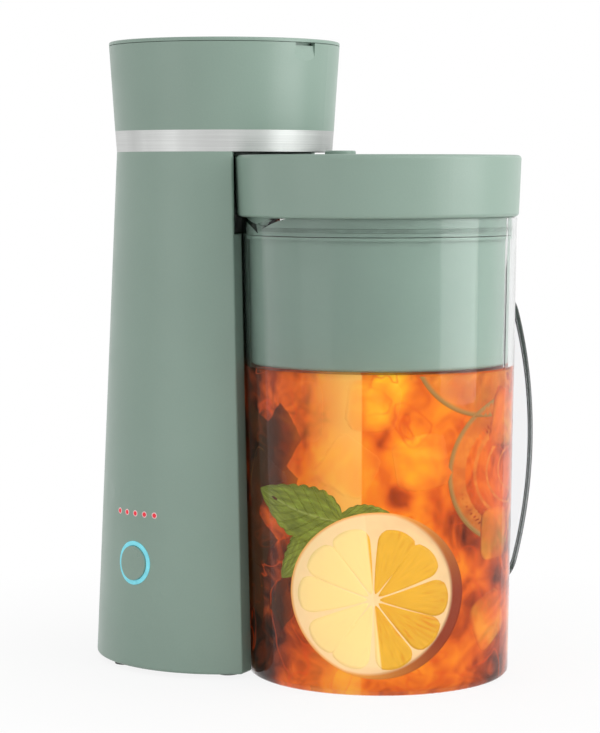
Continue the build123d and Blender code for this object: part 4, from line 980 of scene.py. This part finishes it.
class TEAMAKER_OT_sunken(bpy.types.Operator):
    """Place slices that are sunk deeper in the tea, all round the jug"""

    bl_idname = "teamaker.sunken"
    bl_label = "Sunken Slices"

    # (name, place sideways from the front, height of the middle, radius, whether the place is
    # given across the view rather than round the wall) in millimetres
    slices = (
        ("sunken_slice_high", 52.0, 172.0, 39.5, True),
        ("sunken_slice_side", 70.0, 106.0, 39.5, True),
        ("sunken_slice_back", 178.0, 84.0, 30.0, False),
        ("sunken_slice_left", -128.0, 112.0, 29.0, False),
    )

    def execute(self, context):
        level = context.scene.tea_drink.level - 1.0 * MM
        for name, offset, height, radius, across in self.slices:
            r = radius * MM
            disc = turned([
                (0, -2.5 * MM), (r - 0.6 * MM, -2.5 * MM), (r, -1.6 * MM), (r - 0.4 * MM, 0.0),
                *((r * share, -0.05 * MM) for share in (0.95, 0.9, 0.8, 0.65, 0.5, 0.35, 0.2)),
                (0, -0.05 * MM),
            ], 96)
            polar_uv(disc)
            if height * MM + r > level:
                self.cut(disc, (0, level - height * MM, 0), (0, 1, 0))
            if across:
                self.cut(disc, (self.reach * MM - offset * MM, 0, 0), (1, 0, 0))
            onto_wall(disc, offset * MM, height * MM, 0.22 * MM, across=across)
            make_piece(name, disc, "pitcher", "clear_plastic", deep_fruit(name + "_fruit", radius))
        return {"FINISHED"}

    # how far sideways a slice placed across the view may reach before it is cut off
    reach = 62.5

    @staticmethod
    def cut(shape, place, facing):
        """Takes off what lies beyond a plane and closes the cut."""
        bmesh.ops.bisect_plane(
            shape, geom=shape.verts[:] + shape.edges[:] + shape.faces[:], dist=1e-7,
            plane_co=place, plane_no=facing, clear_outer=True,
        )
        bmesh.ops.holes_fill(shape, edges=[e for e in shape.edges if e.is_boundary])


class TEAMAKER_OT_stage(bpy.types.Operator):
    """Set the pale floor, the lamps, the world and the camera"""

    bl_idname = "teamaker.stage"
    bl_label = "Studio"

    lamp_distance = 1.15
    target_height = 0.16
    floor_radius = 6.0
    # (name, degrees to the viewer's right, degrees up, size in metres, radiance)
    lamps = (
        ("high_back", 125, 48, (0.70, 0.6), 0.28),
        ("high_front", 45, 48, (0.70, 0.6), 0.73),
        ("high_right", 85, 48, (0.70, 0.6), 1.25),
        ("left_softbox", -55, 8, (0.60, 1.0), 0.57),
        ("right_softbox", 68, 8, (0.77, 1.0), 2.94),
    )

    def execute(self, context):
        studio = context.scene.tea_studio
        context.scene.view_settings.view_transform = "Standard"
        self.make_floor(studio, self.floor_radius)
        self.make_world(context.scene, studio)
        target = Vector((JUG_AXIS.x, JUG_AXIS.y, self.target_height))
        for name, turn, lift, size, radiance in self.lamps:
            self.make_lamp(name, target, math.radians(turn), lift, self.lamp_distance, size, radiance)
        self.make_camera(context.scene, studio)
        return {"FINISHED"}

    @staticmethod
    def make_floor(studio, radius):
        """A wide floor that takes the shadow near the part and is plain white far off."""
        shape = bmesh.new()
        bmesh.ops.create_circle(shape, cap_ends=True, segments=64, radius=radius)
        mesh = bpy.data.meshes.new("floor")
        shape.to_mesh(mesh)
        shape.free()
        floor = bpy.data.objects.new("floor", mesh)
        bpy.context.scene.collection.objects.link(floor)
        finish = Finish("pale_floor", Base_Color=studio.floor_colour, Roughness=0.7,
                        Specular_IOR_Level=0.1)
        seen = TEAMAKER_OT_stage.shows_backdrop(finish.tree)
        away = finish.add("VectorMath", operation="LENGTH", Vector=finish.place()).outputs["Value"]
        fade = finish.span(away, 0.12, 0.30, 0.88, 1.0)
        mix = finish.add("MixShader")
        finish.feed(mix.inputs[0], finish.calc("MULTIPLY", seen, fade))
        finish.feed(mix.inputs[1], finish.shader.outputs[0])
        finish.feed(mix.inputs[2], finish.add("Emission", Color=(1, 1, 1), Strength=1.0).outputs[0])
        finish.surface(mix.outputs[0])
        mesh.materials.append(finish.material)

    @staticmethod
    def shows_backdrop(tree):
        """A socket that is 1 for camera, glossy and transmission rays, which all see the white."""
        rays = tree.nodes.new("ShaderNodeLightPath").outputs
        value = rays["Is Camera Ray"]
        for kind in ("Is Glossy Ray", "Is Transmission Ray"):
            either = tree.nodes.new("ShaderNodeMath")
            either.operation = "MAXIMUM"
            tree.links.new(value, either.inputs[0])
            tree.links.new(rays[kind], either.inputs[1])
            value = either.outputs[0]
        return value

    @staticmethod
    def make_world(scene, studio):
        """White behind the part, and a softer level for the light that falls on it."""
        world = bpy.data.worlds.new("studio")
        world.use_nodes = True
        scene.world = world
        tree = world.node_tree
        sky = tree.nodes["Background"]
        level = tree.nodes.new("ShaderNodeMapRange")
        level.inputs["To Min"].default_value = studio.ambient
        level.inputs["To Max"].default_value = 1.0
        tree.links.new(TEAMAKER_OT_stage.shows_backdrop(tree), level.inputs["Value"])
        tree.links.new(level.outputs[0], sky.inputs["Strength"])
        sky.inputs["Color"].default_value = (1, 1, 1, 1)

    @staticmethod
    def make_lamp(name, target, turn, lift, distance, size, radiance):
        """A rectangular lamp that faces the part, given its radiance."""
        data = bpy.data.lights.new(name, "AREA")
        data.shape = "RECTANGLE"
        data.size, data.size_y = size
        data.energy = radiance * math.pi * size[0] * size[1]
        lamp = bpy.data.objects.new(name, data)
        bpy.context.scene.collection.objects.link(lamp)
        rise = math.radians(lift)
        out = camera_side(turn) * math.cos(rise) + Vector((0, 0, math.sin(rise)))
        lamp.location = target + out * distance
        lamp.rotation_euler = out.to_track_quat("Z", "Y").to_euler()

    @staticmethod
    def make_camera(scene, studio):
        """The camera."""
        data = bpy.data.cameras.new("camera")
        data.lens = studio.lens
        data.sensor_width = 36.0
        camera = bpy.data.objects.new("camera", data)
        scene.collection.objects.link(camera)
        camera.location = studio.view_place
        camera.rotation_euler = (math.pi / 2 - studio.view_pitch, 0, studio.view_turn)
        scene.camera = camera


OPERATORS = (
    TEAMAKER_OT_casing, TEAMAKER_OT_trim, TEAMAKER_OT_works, TEAMAKER_OT_clear,
    TEAMAKER_OT_indicators, TEAMAKER_OT_tea, TEAMAKER_OT_ice, TEAMAKER_OT_lemon,
    TEAMAKER_OT_mint, TEAMAKER_OT_sunken, TEAMAKER_OT_stage,
)


class TEAMAKER_PT_panel(bpy.types.Panel):
    """Lists the steps that dress the tea maker"""

    bl_idname = "TEAMAKER_PT_panel"
    bl_label = "Tea Maker"
    bl_space_type = "VIEW_3D"
    bl_region_type = "UI"
    bl_category = "Tea Maker"

    def draw(self, context):
        for operator in OPERATORS:
            self.layout.operator(operator.bl_idname)


GROUPS = (("tea_casing", CasingSettings), ("tea_drink", DrinkSettings), ("tea_studio", StudioSettings))
CLASSES = (*(group for _, group in GROUPS), *OPERATORS, TEAMAKER_PT_panel)


def register():
    """Registers the classes and the scene's settings."""
    for item in CLASSES:
        bpy.utils.register_class(item)
    for name, group in GROUPS:
        setattr(bpy.types.Scene, name, bpy.props.PointerProperty(type=group))


def unregister():
    """Removes what register added."""
    for name, _ in GROUPS:
        delattr(bpy.types.Scene, name)
    for item in reversed(CLASSES):
        bpy.utils.unregister_class(item)


def main():
    register()
    for operator in OPERATORS:
        getattr(bpy.ops.teamaker, operator.bl_idname.split(".")[1])()


if __name__ == "__main__":
    main()
